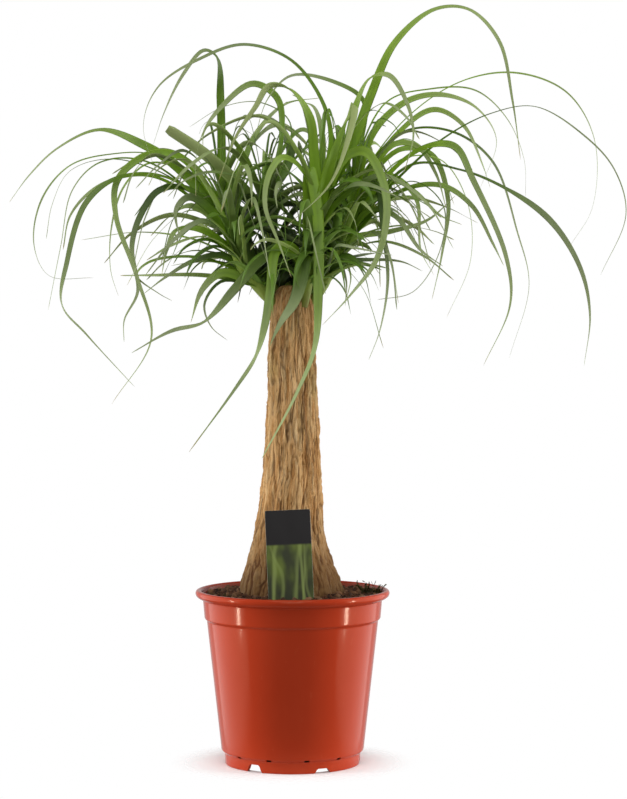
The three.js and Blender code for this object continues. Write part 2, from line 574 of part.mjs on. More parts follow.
function stemCurve(shoot) {
  return new THREE.CatmullRomCurve3(SHOOTS[shoot].stem.map((point) => vector(...point)), false, "centripetal");
}

const palette = {
  pot: new THREE.MeshStandardMaterial({ color: 0xb5532f, roughness: 0.4, metalness: 0 }),
  soil: new THREE.MeshStandardMaterial({ color: 0x36241a, roughness: 0.95, metalness: 0 }),
  bark: new THREE.MeshStandardMaterial({ color: 0x9a7048, roughness: 0.9, metalness: 0 }),
  label: new THREE.MeshStandardMaterial({ color: 0x2c3a22, roughness: 0.5, metalness: 0 }),
  leaf: new THREE.MeshStandardMaterial({ color: 0x4f7d2c, roughness: 0.5, metalness: 0 }),
};

const palm = new THREE.Group();
function add(name, body, material) {
  const mesh = new THREE.Mesh(geometryOf(body), material);
  mesh.name = name;
  palm.add(mesh);
}

let trunk = trunkWithRoots(0);
for (const shoot of Object.keys(SHOOTS)) {
  trunk = trunk.subtract(solid(rod(stemCurve(shoot), STEM_RADII, 5, 8, FIT)));
}
add("pot", buildPot(), palette.pot);
add("soil", soilBody().subtract(trunkWithRoots(FIT)).subtract(solid(labelGeometry(FIT))), palette.soil);
add("trunk", trunk, palette.bark);
add("plant_label", solid(labelGeometry(0)), palette.label);

const leaves = growShoots();
for (const shoot of Object.keys(SHOOTS)) {
  let body = solid(rod(stemCurve(shoot), STEM_RADII, 5, 8));
  for (const leaf of leaves) {
    if (leaf.shoot === shoot) body = body.add(solid(bladeGeometry(leaf)));
  }
  add(`shoot_${shoot}`, outerSkin(body), palette.leaf);
}

export default palm;
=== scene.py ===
# %% [markdown]
# # Potted ponytail palm
# A ponytail palm is a corky trunk with a swollen foot. Where its top was cut, shoots grow out, and each
# of them carries a fountain of long strap leaves. This one stands in dark soil in a terracotta-coloured
# nursery pot. The plain solids of the CAD model give every place and size. This script dresses them: it
# grows fine leaves along the same midribs, cuts fissures in the bark, scatters crumbs on the soil and
# gives each surface its material.

import math

import bpy
import numpy as np
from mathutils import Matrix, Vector, noise


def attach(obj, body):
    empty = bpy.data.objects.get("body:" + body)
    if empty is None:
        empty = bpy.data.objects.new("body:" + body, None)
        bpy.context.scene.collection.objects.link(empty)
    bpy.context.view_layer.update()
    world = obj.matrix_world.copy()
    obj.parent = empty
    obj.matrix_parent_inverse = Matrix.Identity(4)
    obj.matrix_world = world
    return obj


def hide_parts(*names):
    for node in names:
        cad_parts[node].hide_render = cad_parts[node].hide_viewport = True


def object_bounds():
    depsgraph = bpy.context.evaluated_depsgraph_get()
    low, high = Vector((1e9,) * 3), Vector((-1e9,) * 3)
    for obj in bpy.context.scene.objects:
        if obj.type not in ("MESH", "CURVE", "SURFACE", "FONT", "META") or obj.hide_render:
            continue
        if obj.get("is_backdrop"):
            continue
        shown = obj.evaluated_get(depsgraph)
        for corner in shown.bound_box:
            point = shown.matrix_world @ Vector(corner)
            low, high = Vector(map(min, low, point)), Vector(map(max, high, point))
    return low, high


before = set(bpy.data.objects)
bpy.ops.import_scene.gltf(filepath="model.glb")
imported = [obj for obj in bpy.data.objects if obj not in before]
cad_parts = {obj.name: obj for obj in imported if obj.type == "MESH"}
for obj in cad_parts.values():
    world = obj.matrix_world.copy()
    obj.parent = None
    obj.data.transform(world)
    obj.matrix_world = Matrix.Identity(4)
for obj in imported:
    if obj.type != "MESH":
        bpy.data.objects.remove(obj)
cad_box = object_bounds()
MM = 0.001
print("CAD nodes:", len(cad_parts))
print("CAD box in mm:", [[round(c / MM, 1) for c in corner] for corner in cad_box])

# %% [markdown]
# ## Colours
# A colour is read off a screen as a code of six digits and letters, and a screen stores it with a curve.
# Shaders work with the light itself, so each colour is straightened once, in Python.


# %% A colour from its code
def screen_colour(code):
    levels = [int(code[i : i + 2], 16) / 255 for i in (0, 2, 4)]
    straight = [c / 12.92 if c <= 0.04045 else ((c + 0.055) / 1.055) ** 2.4 for c in levels]
    return (*straight, 1.0)


# %% [markdown]
# ## Node trees as sums
# Materials and Geometry Nodes are both made of nodes with sockets. Linking a Math node for every sum by
# hand is slow to write and hard to read. Here a Term wraps a socket, and each operator between terms
# adds the Math node, so that `1 - mask * 0.5` is written as it is said. A Board wraps the tree, and its
# one method adds any other node. Where a socket takes a colour, it is given the colour's code.


# %% Terms and boards
def find_socket(sockets, key):
    usable = [socket for socket in sockets if socket.enabled]
    if isinstance(key, int):
        return usable[key]
    return next(socket for socket in usable if socket.name == key)


def operator_pair(operation):
    """An operator with the term on its left, and its reflected form with the term on its right."""

    def term_first(term, other):
        return term.board.maths(operation, term, other)

    def term_last(term, other):
        return term.board.maths(operation, other, term)

    return term_first, term_last


class Term:
    """An output socket that can stand in a sum."""

    __add__, __radd__ = operator_pair("ADD")
    __sub__, __rsub__ = operator_pair("SUBTRACT")
    __mul__, __rmul__ = operator_pair("MULTIPLY")
    __pow__, __rpow__ = operator_pair("POWER")

    def __init__(self, board, socket):
        self.board = board
        self.socket = socket

    def out(self, name):
        return Term(self.board, find_socket(self.socket.node.outputs, name))

    def __abs__(self):
        return self.board.maths("ABSOLUTE", self)


class Board:
    """One node tree."""

    def __init__(self, tree):
        self.tree = tree

    def add(self, kind, settings=None, values=None, out=0):
        node = self.tree.nodes.new(kind)
        for name, setting in (settings or {}).items():
            if name == "stops":
                set_stops(node.color_ramp, setting)
            else:
                setattr(node, name, setting)
        for name, value in (values or {}).items():
            self.feed(find_socket(node.inputs, name), value)
        return Term(self, find_socket(node.outputs, out)) if len(node.outputs) else node

    def feed(self, socket, value):
        if isinstance(value, Term):
            self.tree.links.new(value.socket, socket)
        else:
            socket.default_value = screen_colour(value) if socket.type == "RGBA" else value

    def maths(self, operation, *values):
        return self.add("ShaderNodeMath", {"operation": operation}, dict(enumerate(values)))

    def vectors(self, operation, *values):
        return self.add("ShaderNodeVectorMath", {"operation": operation}, dict(enumerate(values)))

    def mix(self, share, first, second):
        values = {"Factor": share, "A": first, "B": second}
        return self.add("ShaderNodeMix", {"data_type": "RGBA"}, values, "Result")

    def ramp(self, value, stops):
        return self.add("ShaderNodeValToRGB", {"stops": stops}, {"Fac": value}, "Color")

    def step(self, value, low, high):
        """0 below low, 1 above high and smooth between them."""
        settings = {"interpolation_type": "SMOOTHSTEP"}
        return self.add("ShaderNodeMapRange", settings, {"Value": value, "From Min": low, "From Max": high})

    def attribute(self, name, kind="Fac"):
        return self.add("ShaderNodeAttribute", {"attribute_name": name}, out=kind)

    def noise(self, place, scale, detail=3.0, roughness=0.5):
        values = {"Vector": place, "Scale": scale, "Detail": detail, "Roughness": roughness}
        return self.add("ShaderNodeTexNoise", None, values)

    def object_place(self, stretch=(1, 1, 1)):
        place = self.add("ShaderNodeTexCoord", out="Object")
        return self.add("ShaderNodeMapping", None, {"Vector": place, "Scale": stretch})


def set_stops(ramp, stops):
    while len(ramp.elements) < len(stops):
        ramp.elements.new(1.0)
    for element, (position, code) in zip(ramp.elements, stops):
        element.position = position
        element.color = screen_colour(code)


# %% [markdown]
# ## Materials
# Every material starts from the same Principled shader, and only its colour, roughness and normal vary
# over the surface. What is the same all over is set on the shader's own sockets.


# %% Starting and finishing a material
def new_material(name, constants):
    material = bpy.data.materials.new(name)
    material.use_nodes = True
    board = Board(material.node_tree)
    board.shader = material.node_tree.nodes["Principled BSDF"]
    for socket, value in constants.items():
        board.shader.inputs[socket].default_value = value
    return material, board


def finish_surface(board, colour, roughness, height=None, strength=0.3, depth=0.001):
    board.feed(board.shader.inputs["Base Color"], colour)
    board.feed(board.shader.inputs["Roughness"], roughness)
    if height is not None:
        values = {"Strength": strength, "Distance": depth, "Height": height}
        board.feed(board.shader.inputs["Normal"], board.add("ShaderNodeBump", None, values, "Normal"))


# %% [markdown]
# ## Running a Geometry Nodes tree
# A tree takes a mesh of guide lines or a surface and grows the real piece on it. Its sizes are named
# inputs, and a modifier's input is reached by the socket's identifier, so it is looked up by name here.
# The grown result is then kept as a plain mesh, which renders, exports and measures like any other.


# %% Trees with named inputs
INPUT_KINDS = {"size": "NodeSocketFloat", "count": "NodeSocketInt", "material": "NodeSocketMaterial"}


def new_tree(name, inputs):
    tree = bpy.data.node_groups.new(name, "GeometryNodeTree")
    tree.interface.new_socket("Geometry", in_out="INPUT", socket_type="NodeSocketGeometry")
    for label, kind in inputs.items():
        tree.interface.new_socket(label, in_out="INPUT", socket_type=INPUT_KINDS[kind])
    tree.interface.new_socket("Geometry", in_out="OUTPUT", socket_type="NodeSocketGeometry")
    board = Board(tree)
    board.given = board.add("NodeGroupInput")
    return board


def named(board, name, data_type="FLOAT"):
    return board.add("GeometryNodeInputNamedAttribute", {"data_type": data_type}, {"Name": name})


def store(board, geometry, name, value, data_type="FLOAT", domain="POINT"):
    settings = {"data_type": data_type, "domain": domain}
    values = {"Geometry": geometry, "Name": name, "Value": value}
    return board.add("GeometryNodeStoreNamedAttribute", settings, values)


def end_tree(board, geometry, material):
    smooth = board.add("GeometryNodeSetShadeSmooth", None, {"Geometry": geometry})
    real = board.add("GeometryNodeRealizeInstances", None, {"Geometry": smooth})
    dressed = board.add("GeometryNodeSetMaterial", None, {"Geometry": real, "Material": material})
    board.add("NodeGroupOutput", None, {"Geometry": dressed})


# %% Growing a piece and placing it in the frame
def new_object(name, mesh):
    piece = bpy.data.objects.new(name, mesh)
    bpy.context.scene.collection.objects.link(piece)
    return piece


def plain_mesh(piece):
    graph = bpy.context.evaluated_depsgraph_get()
    return bpy.data.meshes.new_from_object(
        piece.evaluated_get(graph), preserve_all_data_layers=True, depsgraph=graph
    )


def grow(name, guide, board, inputs):
    piece = new_object(name, guide)
    modifier = piece.modifiers.new("grow", "NODES")
    modifier.node_group = board.tree
    for socket in board.tree.interface.items_tree:
        if socket.name in inputs:
            modifier[socket.identifier] = inputs[socket.name]
    grown = plain_mesh(piece)
    piece.modifiers.clear()
    piece.data = grown
    return piece


def place(piece, slot, *nodes):
    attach(piece, "root")
    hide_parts(*nodes)
    piece.data.calc_loop_triangles()
    print(f"{piece.name}: {len(piece.data.loop_triangles)} triangles")


# %% [markdown]
# ## The leaves' own rules
# The leaves that show from the front are drawn one by one, as points that the midrib passes through. The
# many smaller ones follow a rule that real shoots follow too: each stands 137.5 degrees round from the
# last, the upper ones steeper and the lower ones flatter. The rows, rules and draws are those of the CAD
# model, so every leaf here lies on its solid.

# %% Stems and drawn leaves, in millimetres
SHOOTS = {
    "main": {
        "stem": [[10, -12, 446], [15, -12, 476], [21, -15, 515], [27, -15, 562]], "extra": 22, "turn": 70,
    },
    "left": {
        "stem": [[-15, -3, 446], [-29, -5, 462], [-48, -6, 484], [-60, -6, 512]], "extra": 30, "turn": 200,
    },
    "right": {
        "stem": [[15.5, 1, 446], [29, 3, 468], [45, 4, 503], [62, 4, 548]], "extra": 24, "turn": 330,
    },
    "back_left": {
        "stem": [[-12, 10, 446], [-22, 24, 472], [-48, 36, 508], [-74, 42, 548]], "extra": 26, "turn": 140,
    },
    "back": {
        "stem": [[-1, 15.5, 446], [-8, 34, 476], [-20, 48, 512], [-30, 54, 554]], "extra": 30, "turn": 100,
    },
    "back_right": {
        "stem": [[10.5, 12, 446], [22, 26, 476], [38, 40, 515], [52, 48, 556]], "extra": 26, "turn": 40,
    },
}
STEM_RADII = [5, 6.4, 6, 4.2]

# Each row: shoot, place along its stem, width, depth of the tip (y), how far the blade turns its upper
# side to the front in degrees, evenly spaced along it (0 is edge on, 90 is full face), its points as
# [x, z], and for a cut leaf the share of its width that is left at its end
DRAWN_LEAVES = [
    ["back_left", 0.85, 9.5, 60, [85, 90, 80, 30, 25, 35, 30],
      [[-117, 587], [-149, 607], [-191, 621], [-233, 603], [-262, 576], [-282, 550]]],
    ["back_left", 0.95, 3, 130, [30, 20, 30, 45, 85, 60, 20, 10],
      [[-132, 595], [-183, 598], [-224, 587], [-253, 554], [-262, 509], [-248, 478], [-204, 476]]],
    ["back_left", 0.9, 2, 170, [40, 30, 60],
      [[-133, 581], [-185, 595], [-227, 584], [-247, 552], [-256, 517]]],
    ["back_left", 0.75, 2.5, 95, [40, 50, 60, 30],
      [[-142, 589], [-191, 590], [-220, 563], [-233, 507], [-247, 443]]],
    ["back_left", 0.7, 6, 10, [30, 35, 45, 80, 60],
      [[-126, 570], [-156, 575], [-192, 563], [-217, 536], [-224, 502]]],
    ["back_left", 0.6, 7, -60, [30, 20, 35, 70, 90, 8, 65, 10],
      [[-120, 571], [-168, 572], [-200, 547], [-218, 488], [-221, 448], [-197, 420], [-150, 370]]],
    ["back_left", 0.8, 8, -30, [40, 60, 85, 85, 60, 90, 50, 10],
      [[-111, 593], [-142, 595], [-171, 570], [-172, 535], [-152, 477], [-137, 415], [-175, 352]]],
    ["back_left", 0.9, 3.5, 110, [30, 30, 50, 80, 50, 20],
      [[-107, 580], [-143, 589], [-169, 566], [-182, 527], [-184, 484], [-177, 457]]],
    ["back_left", 0.55, 7.5, 0, [30, 45, 80, 80, 60, 45, 30],
      [[-101, 561], [-131, 560], [-150, 533], [-157, 504], [-151, 461], [-164, 433], [-164, 412]]],
    ["back", 0.8, 13, -30, [-90, -90, -85, -80], [[-40, 552], [-57, 570], [-86, 595], [-120, 617]], 0.75],
    ["back_left", 0.95, 8.5, 30, [85, 85, 90, 15, 45, 60, 30, 10],
      [[-70, 592], [-71, 651], [-75, 692], [-87, 698], [-107, 675], [-126, 637], [-137, 605]]],
    ["back", 0.95, 8.5, 0, [60, 40, 70, 85, 80, 50, 20],
      [[-12, 612], [-15, 651], [-39, 665], [-70, 641], [-86, 617], [-87, 602]]],
    ["back_left", 1, 7, 95, [60, 80, 60, 30], [[-51, 585], [-37, 618], [-8, 649], [29, 657]]],
    ["back", 1, 10, 95, [90, 90, 80, 60, 30], [[-7, 583], [-2, 603], [-14, 628], [-36, 639], [-49, 631]]],
    ["main", 0.95, 5, 50, [70, 60, 45, 40, 55, 85, 60, 25, 10],
      [[37, 608], [28, 646], [-2, 685], [-47, 700], [-89, 687], [-130, 660], [-145, 622], [-126, 560]]],
    ["main", 0.85, 10, -70, [85, 85, 70, 20, -70, -88, -80, -40],
      [[20, 598], [16, 628], [-2, 653], [-22, 656], [-35, 636], [-54, 606], [-70, 564]]],
    ["main", 0.9, 9.5, -20, [90, 90, 80, 55, 35, 35, 65, 85, 30],
      [[56, 598], [75, 648], [99, 700], [137, 732], [170, 732], [199, 702], [212, 646], [220, 588]]],
    ["main", 0.95, 8, -60, [60, 80, 60, 15, 75, 85, 60, 30],
      [[51, 598], [62, 641], [75, 665], [92, 667], [108, 643], [115, 610], [106, 574]]],
    ["back_right", 0.9, 5.5, 20, [40, 60, 75, 80, 60, 40, 20],
      [[68, 612], [70, 649], [42, 667], [-1, 673], [-24, 650], [-36, 615]]],
    ["main", 0.75, 11.5, -120, [85, 85, 30, -80, -75, -50, -20],
      [[35, 580], [49, 620], [59, 636], [54, 608], [35, 560], [-7, 519]]],
    ["main", 1, 9.5, 60, [90, 90, 80, 60], [[23, 585], [18, 620], [9, 650], [0, 657]]],
    ["main", 1, 7, 30, [90, 85, 70, 40], [[29, 584], [28, 619], [21, 641], [10, 647]]],
    ["main", 0.7, 8, -75, [20, 30, 60, 88, 85, 60, 20],
      [[10, 576], [-9, 589], [-22, 573], [-26, 542], [-13, 507], [-1, 474]]],
    ["back", 0.9, 2, 90, [30, 50, 20], [[-2, 628], [-31, 650], [-68, 647], [-104, 627]]],
    ["right", 0.95, 7, 40, [50, 75, 80, 75, 45, 25, 10],
      [[78, 614], [110, 646], [145, 654], [180, 642], [201, 611], [186, 564]]],
    ["back_right", 0.9, 2.5, 130, [30, 30, 45, 70, 60, 30, 10],
      [[92, 648], [138, 664], [184, 664], [217, 637], [236, 596], [239, 559]]],
    ["right", 0.75, 3, -60, [60, 60, 45, 25, 20, 60, 80, 40, 10],
      [[105, 573], [148, 610], [191, 632], [233, 638], [280, 609], [307, 577], [317, 534], [292, 476]]],
    ["back_right", 0.95, 2.5, 80, [20, 20, 30, 70, 85, 45, 15, 10],
      [[112, 632], [168, 670], [223, 679], [274, 660], [302, 614], [301, 546], [279, 507]]],
    ["right", 0.65, 9, -30, [30, 15, 12, 25, 85, 90, 55, 15],
      [[115, 583], [161, 579], [205, 561], [249, 530], [278, 484], [287, 438], [281, 389]]],
    ["right", 0.8, 8.5, -95, [60, 35, 45, 85, 85, 75, 50, 10],
      [[104, 584], [133, 601], [156, 599], [172, 567], [202, 495], [205, 448], [179, 391]]],
    ["back_right", 0.8, 6.5, 70, [40, 45, 85, 80, 40, 20],
      [[107, 620], [141, 642], [170, 627], [190, 587], [198, 565]]],
    ["right", 0.6, 7.5, 40, [40, 30, 60, 85, 80, 40],
      [[103, 557], [145, 565], [176, 546], [198, 508], [209, 487]]],
    ["back_right", 0.85, 4, 100, [30, 30, 50, 70, 60, 40, 10],
      [[107, 618], [158, 621], [200, 592], [226, 522], [239, 468], [220, 394]]],
    ["right", 0.9, 2, 80, [20, 60, 20], [[106, 590], [146, 591], [173, 552], [178, 493], [155, 435]]],
    ["back_right", 0.75, 7, 20, [30, 50, 85, 90, 60, 20],
      [[106, 601], [138, 596], [154, 552], [148, 499], [138, 453]]],
    ["right", 0.85, 7, 10, [30, 60, 90, 85, 40], [[97, 603], [121, 603], [140, 576], [150, 543]]],
    ["right", 0.7, 6, 60, [40, 80, 80, 50, 20], [[101, 569], [122, 552], [127, 503], [141, 478]]],
    ["right", 0.75, 2, -20, [20, 50, 20], [[115, 568], [146, 545], [143, 501], [117, 461], [82, 453]]],
    ["main", 0.65, 10.5, -95, [40, 60, 88, 85, 60, 30, 10],
      [[51, 588], [70, 594], [89, 553], [81, 495], [54, 457], [28, 429]]],
    ["right", 0.55, 5.5, -75, [60, 85, 60, 30, 10], [[80, 564], [87, 520], [91, 472], [83, 424], [72, 396]]],
    ["right", 0.3, 5, 10, [60, 80, 60, 30], [[51, 489], [78, 492], [107, 490], [127, 481]]],
    ["right", 0.4, 7, -20, [60, 75, 70, 30], [[56, 511], [95, 519], [131, 530], [157, 553]]],
    ["right", 0.5, 7, -40, [60, 80, 80, 40], [[75, 540], [99, 534], [123, 501], [144, 485]]],
    ["back_right", 0.6, 6, 60, [50, 75, 60, 30], [[92, 576], [122, 560], [147, 537], [169, 528]]],
    ["right", 0.25, 4, -10, [60, 80, 30], [[44, 490], [52, 472], [51, 447]]],
    ["right", 0.35, 3.5, -40, [60, 60, 30], [[48, 493], [56, 476], [52, 455]]],
    ["main", 0.45, 12.5, -66, [85, 90, 90, 75, 30, 30, 30],
      [[17, 576], [24, 537], [25, 469], [22, 408], [5, 365], [-29, 302]], 0.12],
    ["main", 0.3, 16, -80, [85, 90, 88, 70, 30], [[13, 498], [8, 472], [1, 450], [-11, 431], [-22, 408]]],
    ["main", 0.35, 11, -95, [60, 80, 90, 85, 75, 20, 80, 40],
      [[-3, 503], [-16, 500], [-21, 465], [-26, 430], [-34, 400], [-54, 369], [-97, 310]]],
    ["main", 0.35, 12, -70, [60, 80, 88, 88, 12, 80, 45],
      [[-7, 504], [-29, 493], [-55, 464], [-85, 431], [-116, 423], [-154, 402]]],
    ["left", 0.45, 10, -25, [60, 80, 88, 40], [[-68, 479], [-87, 463], [-98, 431]]],
    ["left", 0.4, 3.5, 30, [60, 80, 60, 20], [[-69, 471], [-86, 449], [-80, 427], [-64, 413]]],
    ["left", 0.65, 7, -10, [60, 70, 60, 30], [[-69, 496], [-95, 491], [-124, 474], [-145, 458]]],
    ["left", 0.8, 8.5, -40, [50, 60, 30, 90, 30], [[-85, 519], [-111, 520], [-120, 503], [-125, 477]]],
    ["left", 0.75, 2.5, 70, [30, 60, 20], [[-96, 512], [-151, 520], [-211, 513]]],
    ["left", 0.55, 3.5, 20, [40, 60, 60, 20],
      [[-90, 494], [-139, 490], [-152, 477], [-132, 460], [-118, 452]]],
    ["left", 0.95, 10, -30, [60, 70, 85, 80, 40], [[-78, 538], [-99, 552], [-112, 540], [-108, 510]]],
]
print("shoots:", len(SHOOTS), "leaves drawn one by one:", len(DRAWN_LEAVES))


# %% Draws that come out the same each run
class Dice:
    def __init__(self, seed):
        self.state = seed

    def draw(self):
        self.state = (self.state * 1664525 + 1013904223) % 2**32
        return self.state / 2**32

    def between(self, low, high):
        return low + (high - low) * self.draw()


def mix(first, second, share):
    return first + (second - first) * share


def unit(vector):
    return vector / max(np.linalg.norm(vector), 1e-9)


# %% [markdown]
# A Catmull-Rom curve passes through all its points. When each span is timed by the root of its length,
# the curve neither loops nor overshoots where the points lie unevenly, which is what a drawn leaf needs.


# %% A smooth curve through points
def spline(points, share):
    spans = len(points) - 1
    span = min(int(share * spans), spans - 1)
    t = share * spans - span
    b, c = points[span], points[span + 1]
    a = points[span - 1] if span > 0 else 2 * b - c
    d = points[span + 2] if span < spans - 1 else 2 * c - b
    before, within, after = (math.sqrt(math.dist(*pair)) for pair in ((a, b), (b, c), (c, d)))
    start = (b - a) / before - (c - a) / (before + within) + (c - b) / within
    end = (c - b) / within - (d - b) / (within + after) + (d - c) / after
    return (
        b * (2 * t**3 - 3 * t**2 + 1)
        + start * within * (t**3 - 2 * t**2 + t)
        + c * (3 * t**2 - 2 * t**3)
        + end * within * (t**3 - t**2)
    )


def stem_point(shoot, share):
    return spline([np.array(point, float) for point in SHOOTS[shoot]["stem"]], share)


# %% Leaves as midribs with a width and a twist
GOLDEN_ANGLE = 137.5  # degrees from one leaf of a shoot to the next
DEPTH_TURN = 1 / 400  # how much a leaf that leads to the back or the front turns with it, to a mm


def drawn_leaf(row):
    shoot, place_on_stem, wide, depth, turns, outline, cut = (*row, 0)[:7]
    base = stem_point(shoot, place_on_stem)
    count = len(outline)
    points = [np.array([x, mix(base[1], depth, (i + 1) / count), z]) for i, (x, z) in enumerate(outline)]
    side = math.copysign(1, points[-1][0] - base[0])
    across = unit(np.array([(base[1] - depth) * DEPTH_TURN, side, 0]))
    return {
        "shoot": shoot, "wide": wide, "twists": [side * turn for turn in turns], "points": [base, *points],
        "across": across, "lean": np.array([0.0, 1.0, 0.0]), "height": place_on_stem, "cut": cut,
    }


def ruled_leaf(shoot, number, count, dice):
    height = (number + 0.5) / count
    base = stem_point(shoot, mix(0.35, 1, height))
    turn = math.radians(SHOOTS[shoot]["turn"] + GOLDEN_ANGLE * number + 24 * (dice.draw() - 0.5))
    way = np.array([math.cos(turn), math.sin(turn), 0.0])
    across = np.array([-way[1], way[0], 0.0])
    reach = dice.between(55, 140) * mix(1, 1.3, abs(way[1]))
    rise = mix(20, 84, height) * dice.between(0.6, 1.2)
    fall = min(dice.between(10, 95), base[2] + rise - dice.between(430, 510))
    top, curl = dice.between(0.42, 0.7), dice.between(-45, 45)
    arch = [
        (0.4 * top, 0.62 * rise, 0), (top, rise, 0.15 * curl),
        (mix(top, 1, 0.62), rise - 0.38 * fall, 0.5 * curl), (1, rise - fall, curl),
    ]
    points = [base + way * out * reach + across * aside + np.array([0, 0, up]) for out, up, aside in arch]
    wide = dice.between(4, 9)
    twists = [dice.between(-40, 40), dice.between(-80, 80), dice.between(-110, 110)]
    return {
        "shoot": shoot, "wide": wide, "twists": twists, "points": [base, *points],
        "across": across, "lean": across, "height": height,
    }


# %% The width of a blade and its midrib in straight pieces
FINEST = 1.3  # mm, width of a blade's tip
STEP_LENGTH = 38  # mm, straight pieces of a solid's blade
FEWEST_STEPS = 4
SAMPLE_LENGTH = 4  # mm along a blade, from one measurement of its clearance to the next


def half_width(leaf, share, clasp=0.25):
    taper = 1 - (1 - leaf.get("cut", 0)) * share**2
    return 0.5 * max(FINEST, leaf["wide"] * (1 + clasp * math.exp(-share / 0.07)) * taper)


def line_length(points):
    return sum(math.dist(*pair) for pair in zip(points, points[1:]))


def midrib_samples(leaf, points):
    steps = max(FEWEST_STEPS, math.floor(line_length(points) / STEP_LENGTH + 0.5))
    corners = [spline(points, step / steps) for step in range(steps + 1)]
    samples = []
    for step in range(steps):
        start, end = corners[step], corners[step + 1]
        parts = math.ceil(math.dist(start, end) / SAMPLE_LENGTH)
        for part in range(parts):
            share = (step + part / parts) / steps
            samples.append((share, tuple(mix(start, end, part / parts)), half_width(leaf, share)))
    return samples


# %% [markdown]
# Two leaves can't fill the same place. Each new one is tried against the trunk and all that is already
# placed, and leans a little further aside until it is clear. A grid of cells keeps this fast, because
# only neighbours in the cells around a point are measured.


# %% Keeping the leaves clear of each other
TRUNK_OUTLINE = [  # radius and height in mm
    [0, 92], [16, 93], [33, 108], [46, 132], [51.5, 155], [51, 168], [45.2, 188], [38.8, 206], [33, 232],
    [29.5, 262], [27.6, 292], [25.2, 340], [23.2, 385], [22.2, 420], [20.4, 446], [17, 459], [11, 466],
    [0, 467],
]
CLEAR_TRUNK = 2.5  # mm between a blade and the trunk
CLEAR_OTHER = 2.8  # mm between blades of two shoots
CLEAR_OWN = 0.6  # mm between blades of one shoot
BASE_PART = 0.2  # share of a blade that counts as its base, where blades of one shoot may touch
HELD_PART = 0.1  # share of a blade that stands too near the trunk's top to be kept off it
CELL = 14  # mm, the grid that finds near neighbours
placed = {}


def cell_of(point):
    return tuple(math.floor(c / CELL) for c in point)


def trunk_radius_at(height):
    for (low_radius, low), (high_radius, high) in zip(TRUNK_OUTLINE, TRUNK_OUTLINE[1:]):
        if low <= height < high:
            return mix(low_radius, high_radius, (height - low) / (high - low))
    return 0


def trunk_lean(height):
    return -4 * math.exp(-(((height - 215) / 45) ** 2))


def is_clear(shoot, share, point, radius):
    trunk = 0 if share < HELD_PART else trunk_radius_at(point[2])
    if trunk > 0 and math.hypot(point[0] - trunk_lean(point[2]), point[1]) < trunk + radius + CLEAR_TRUNK:
        return False
    i, j, k = cell_of(point)
    near = ((i + di, j + dj, k + dk) for di in (-1, 0, 1) for dj in (-1, 0, 1) for dk in (-1, 0, 1))
    for cell in near:
        for other_shoot, other_share, other_point, other_radius in placed.get(cell, ()):
            own = other_shoot == shoot
            if own and (share < BASE_PART or other_share < BASE_PART):
                continue
            if math.dist(point, other_point) < radius + other_radius + (CLEAR_OWN if own else CLEAR_OTHER):
                return False
    return True


LEAN_STEP = 7  # mm that a leaf in the way is leaned aside at its tip, again and again
LEAN_STEPS = 11  # how often at most, to each side


def settle(leaf):
    last = len(leaf["points"]) - 1
    for turn in range(2 * LEAN_STEPS + 1):
        lean = LEAN_STEP * math.ceil(turn / 2) * (1 if turn % 2 == 0 else -1)
        points = [point + leaf["lean"] * lean * i / last for i, point in enumerate(leaf["points"])]
        samples = midrib_samples(leaf, points)
        if all(is_clear(leaf["shoot"], *sample) for sample in samples):
            for share, point, radius in samples:
                placed.setdefault(cell_of(point), []).append((leaf["shoot"], share, point, radius))
            return {**leaf, "points": points}
    return None


# %% Placing all leaves
SEED = 2549
CLEAR_STEM = 7.2  # mm from the middle of a stem
STEM_STATIONS = 25  # points along a stem that blades are kept off


def grow_leaves():
    dice = Dice(SEED)
    for shoot in SHOOTS:
        for i in range(STEM_STATIONS):
            point = tuple(stem_point(shoot, i / (STEM_STATIONS - 1)))
            placed.setdefault(cell_of(point), []).append((shoot, 0, point, CLEAR_STEM))
    leaves = [settle(drawn_leaf(row)) for row in DRAWN_LEAVES]
    for number in range(max(shoot["extra"] for shoot in SHOOTS.values())):
        for name, shoot in SHOOTS.items():
            if number < shoot["extra"]:
                leaves.append(settle(ruled_leaf(name, number, shoot["extra"], dice)))
    return [leaf for leaf in leaves if leaf is not None]


leaves = grow_leaves()
print("leaves placed:", len(leaves))

# %% [markdown]
# ## Leaves
# A strap leaf is a thin ribbon, folded a little along its middle like a gutter, which twists as it
# arches over. It could be a bent plane with a Curve modifier, but with hundreds of leaves that means
# hundreds of objects. Here every leaf of a shoot is a guide line in one mesh, whose points know their
# half width, the way the leaf faces and how far along it they lie. One tree then sweeps a flat section
# along all of them.

# %% Guide lines
POINT_GAP = 5  # mm between the points of a guide line
CLASP = 0.5  # how much broader a leaf is where it clasps the stem
GROWN_TO_CUT = 0.85  # how far along its full length a cut leaf ends, so that its end isn't dry


def turned_about(vector, axis, angle):
    across, cos = np.cross(axis, vector), math.cos(angle)
    return vector * cos + across * math.sin(angle) + axis * (axis @ vector) * (1 - cos)


def facing(leaf, share):
    """The way the upper side of a leaf looks at a share of its length."""
    points = leaf["points"]
    tangent = unit(spline(points, min(1, share + 0.01)) - spline(points, max(0, share - 0.01)))
    wide = unit(leaf["across"] - tangent * (leaf["across"] @ tangent))
    stations = np.linspace(0, 1, len(leaf["twists"]))
    wide = turned_about(wide, tangent, math.radians(np.interp(share, stations, leaf["twists"])))
    return np.cross(tangent, wide)


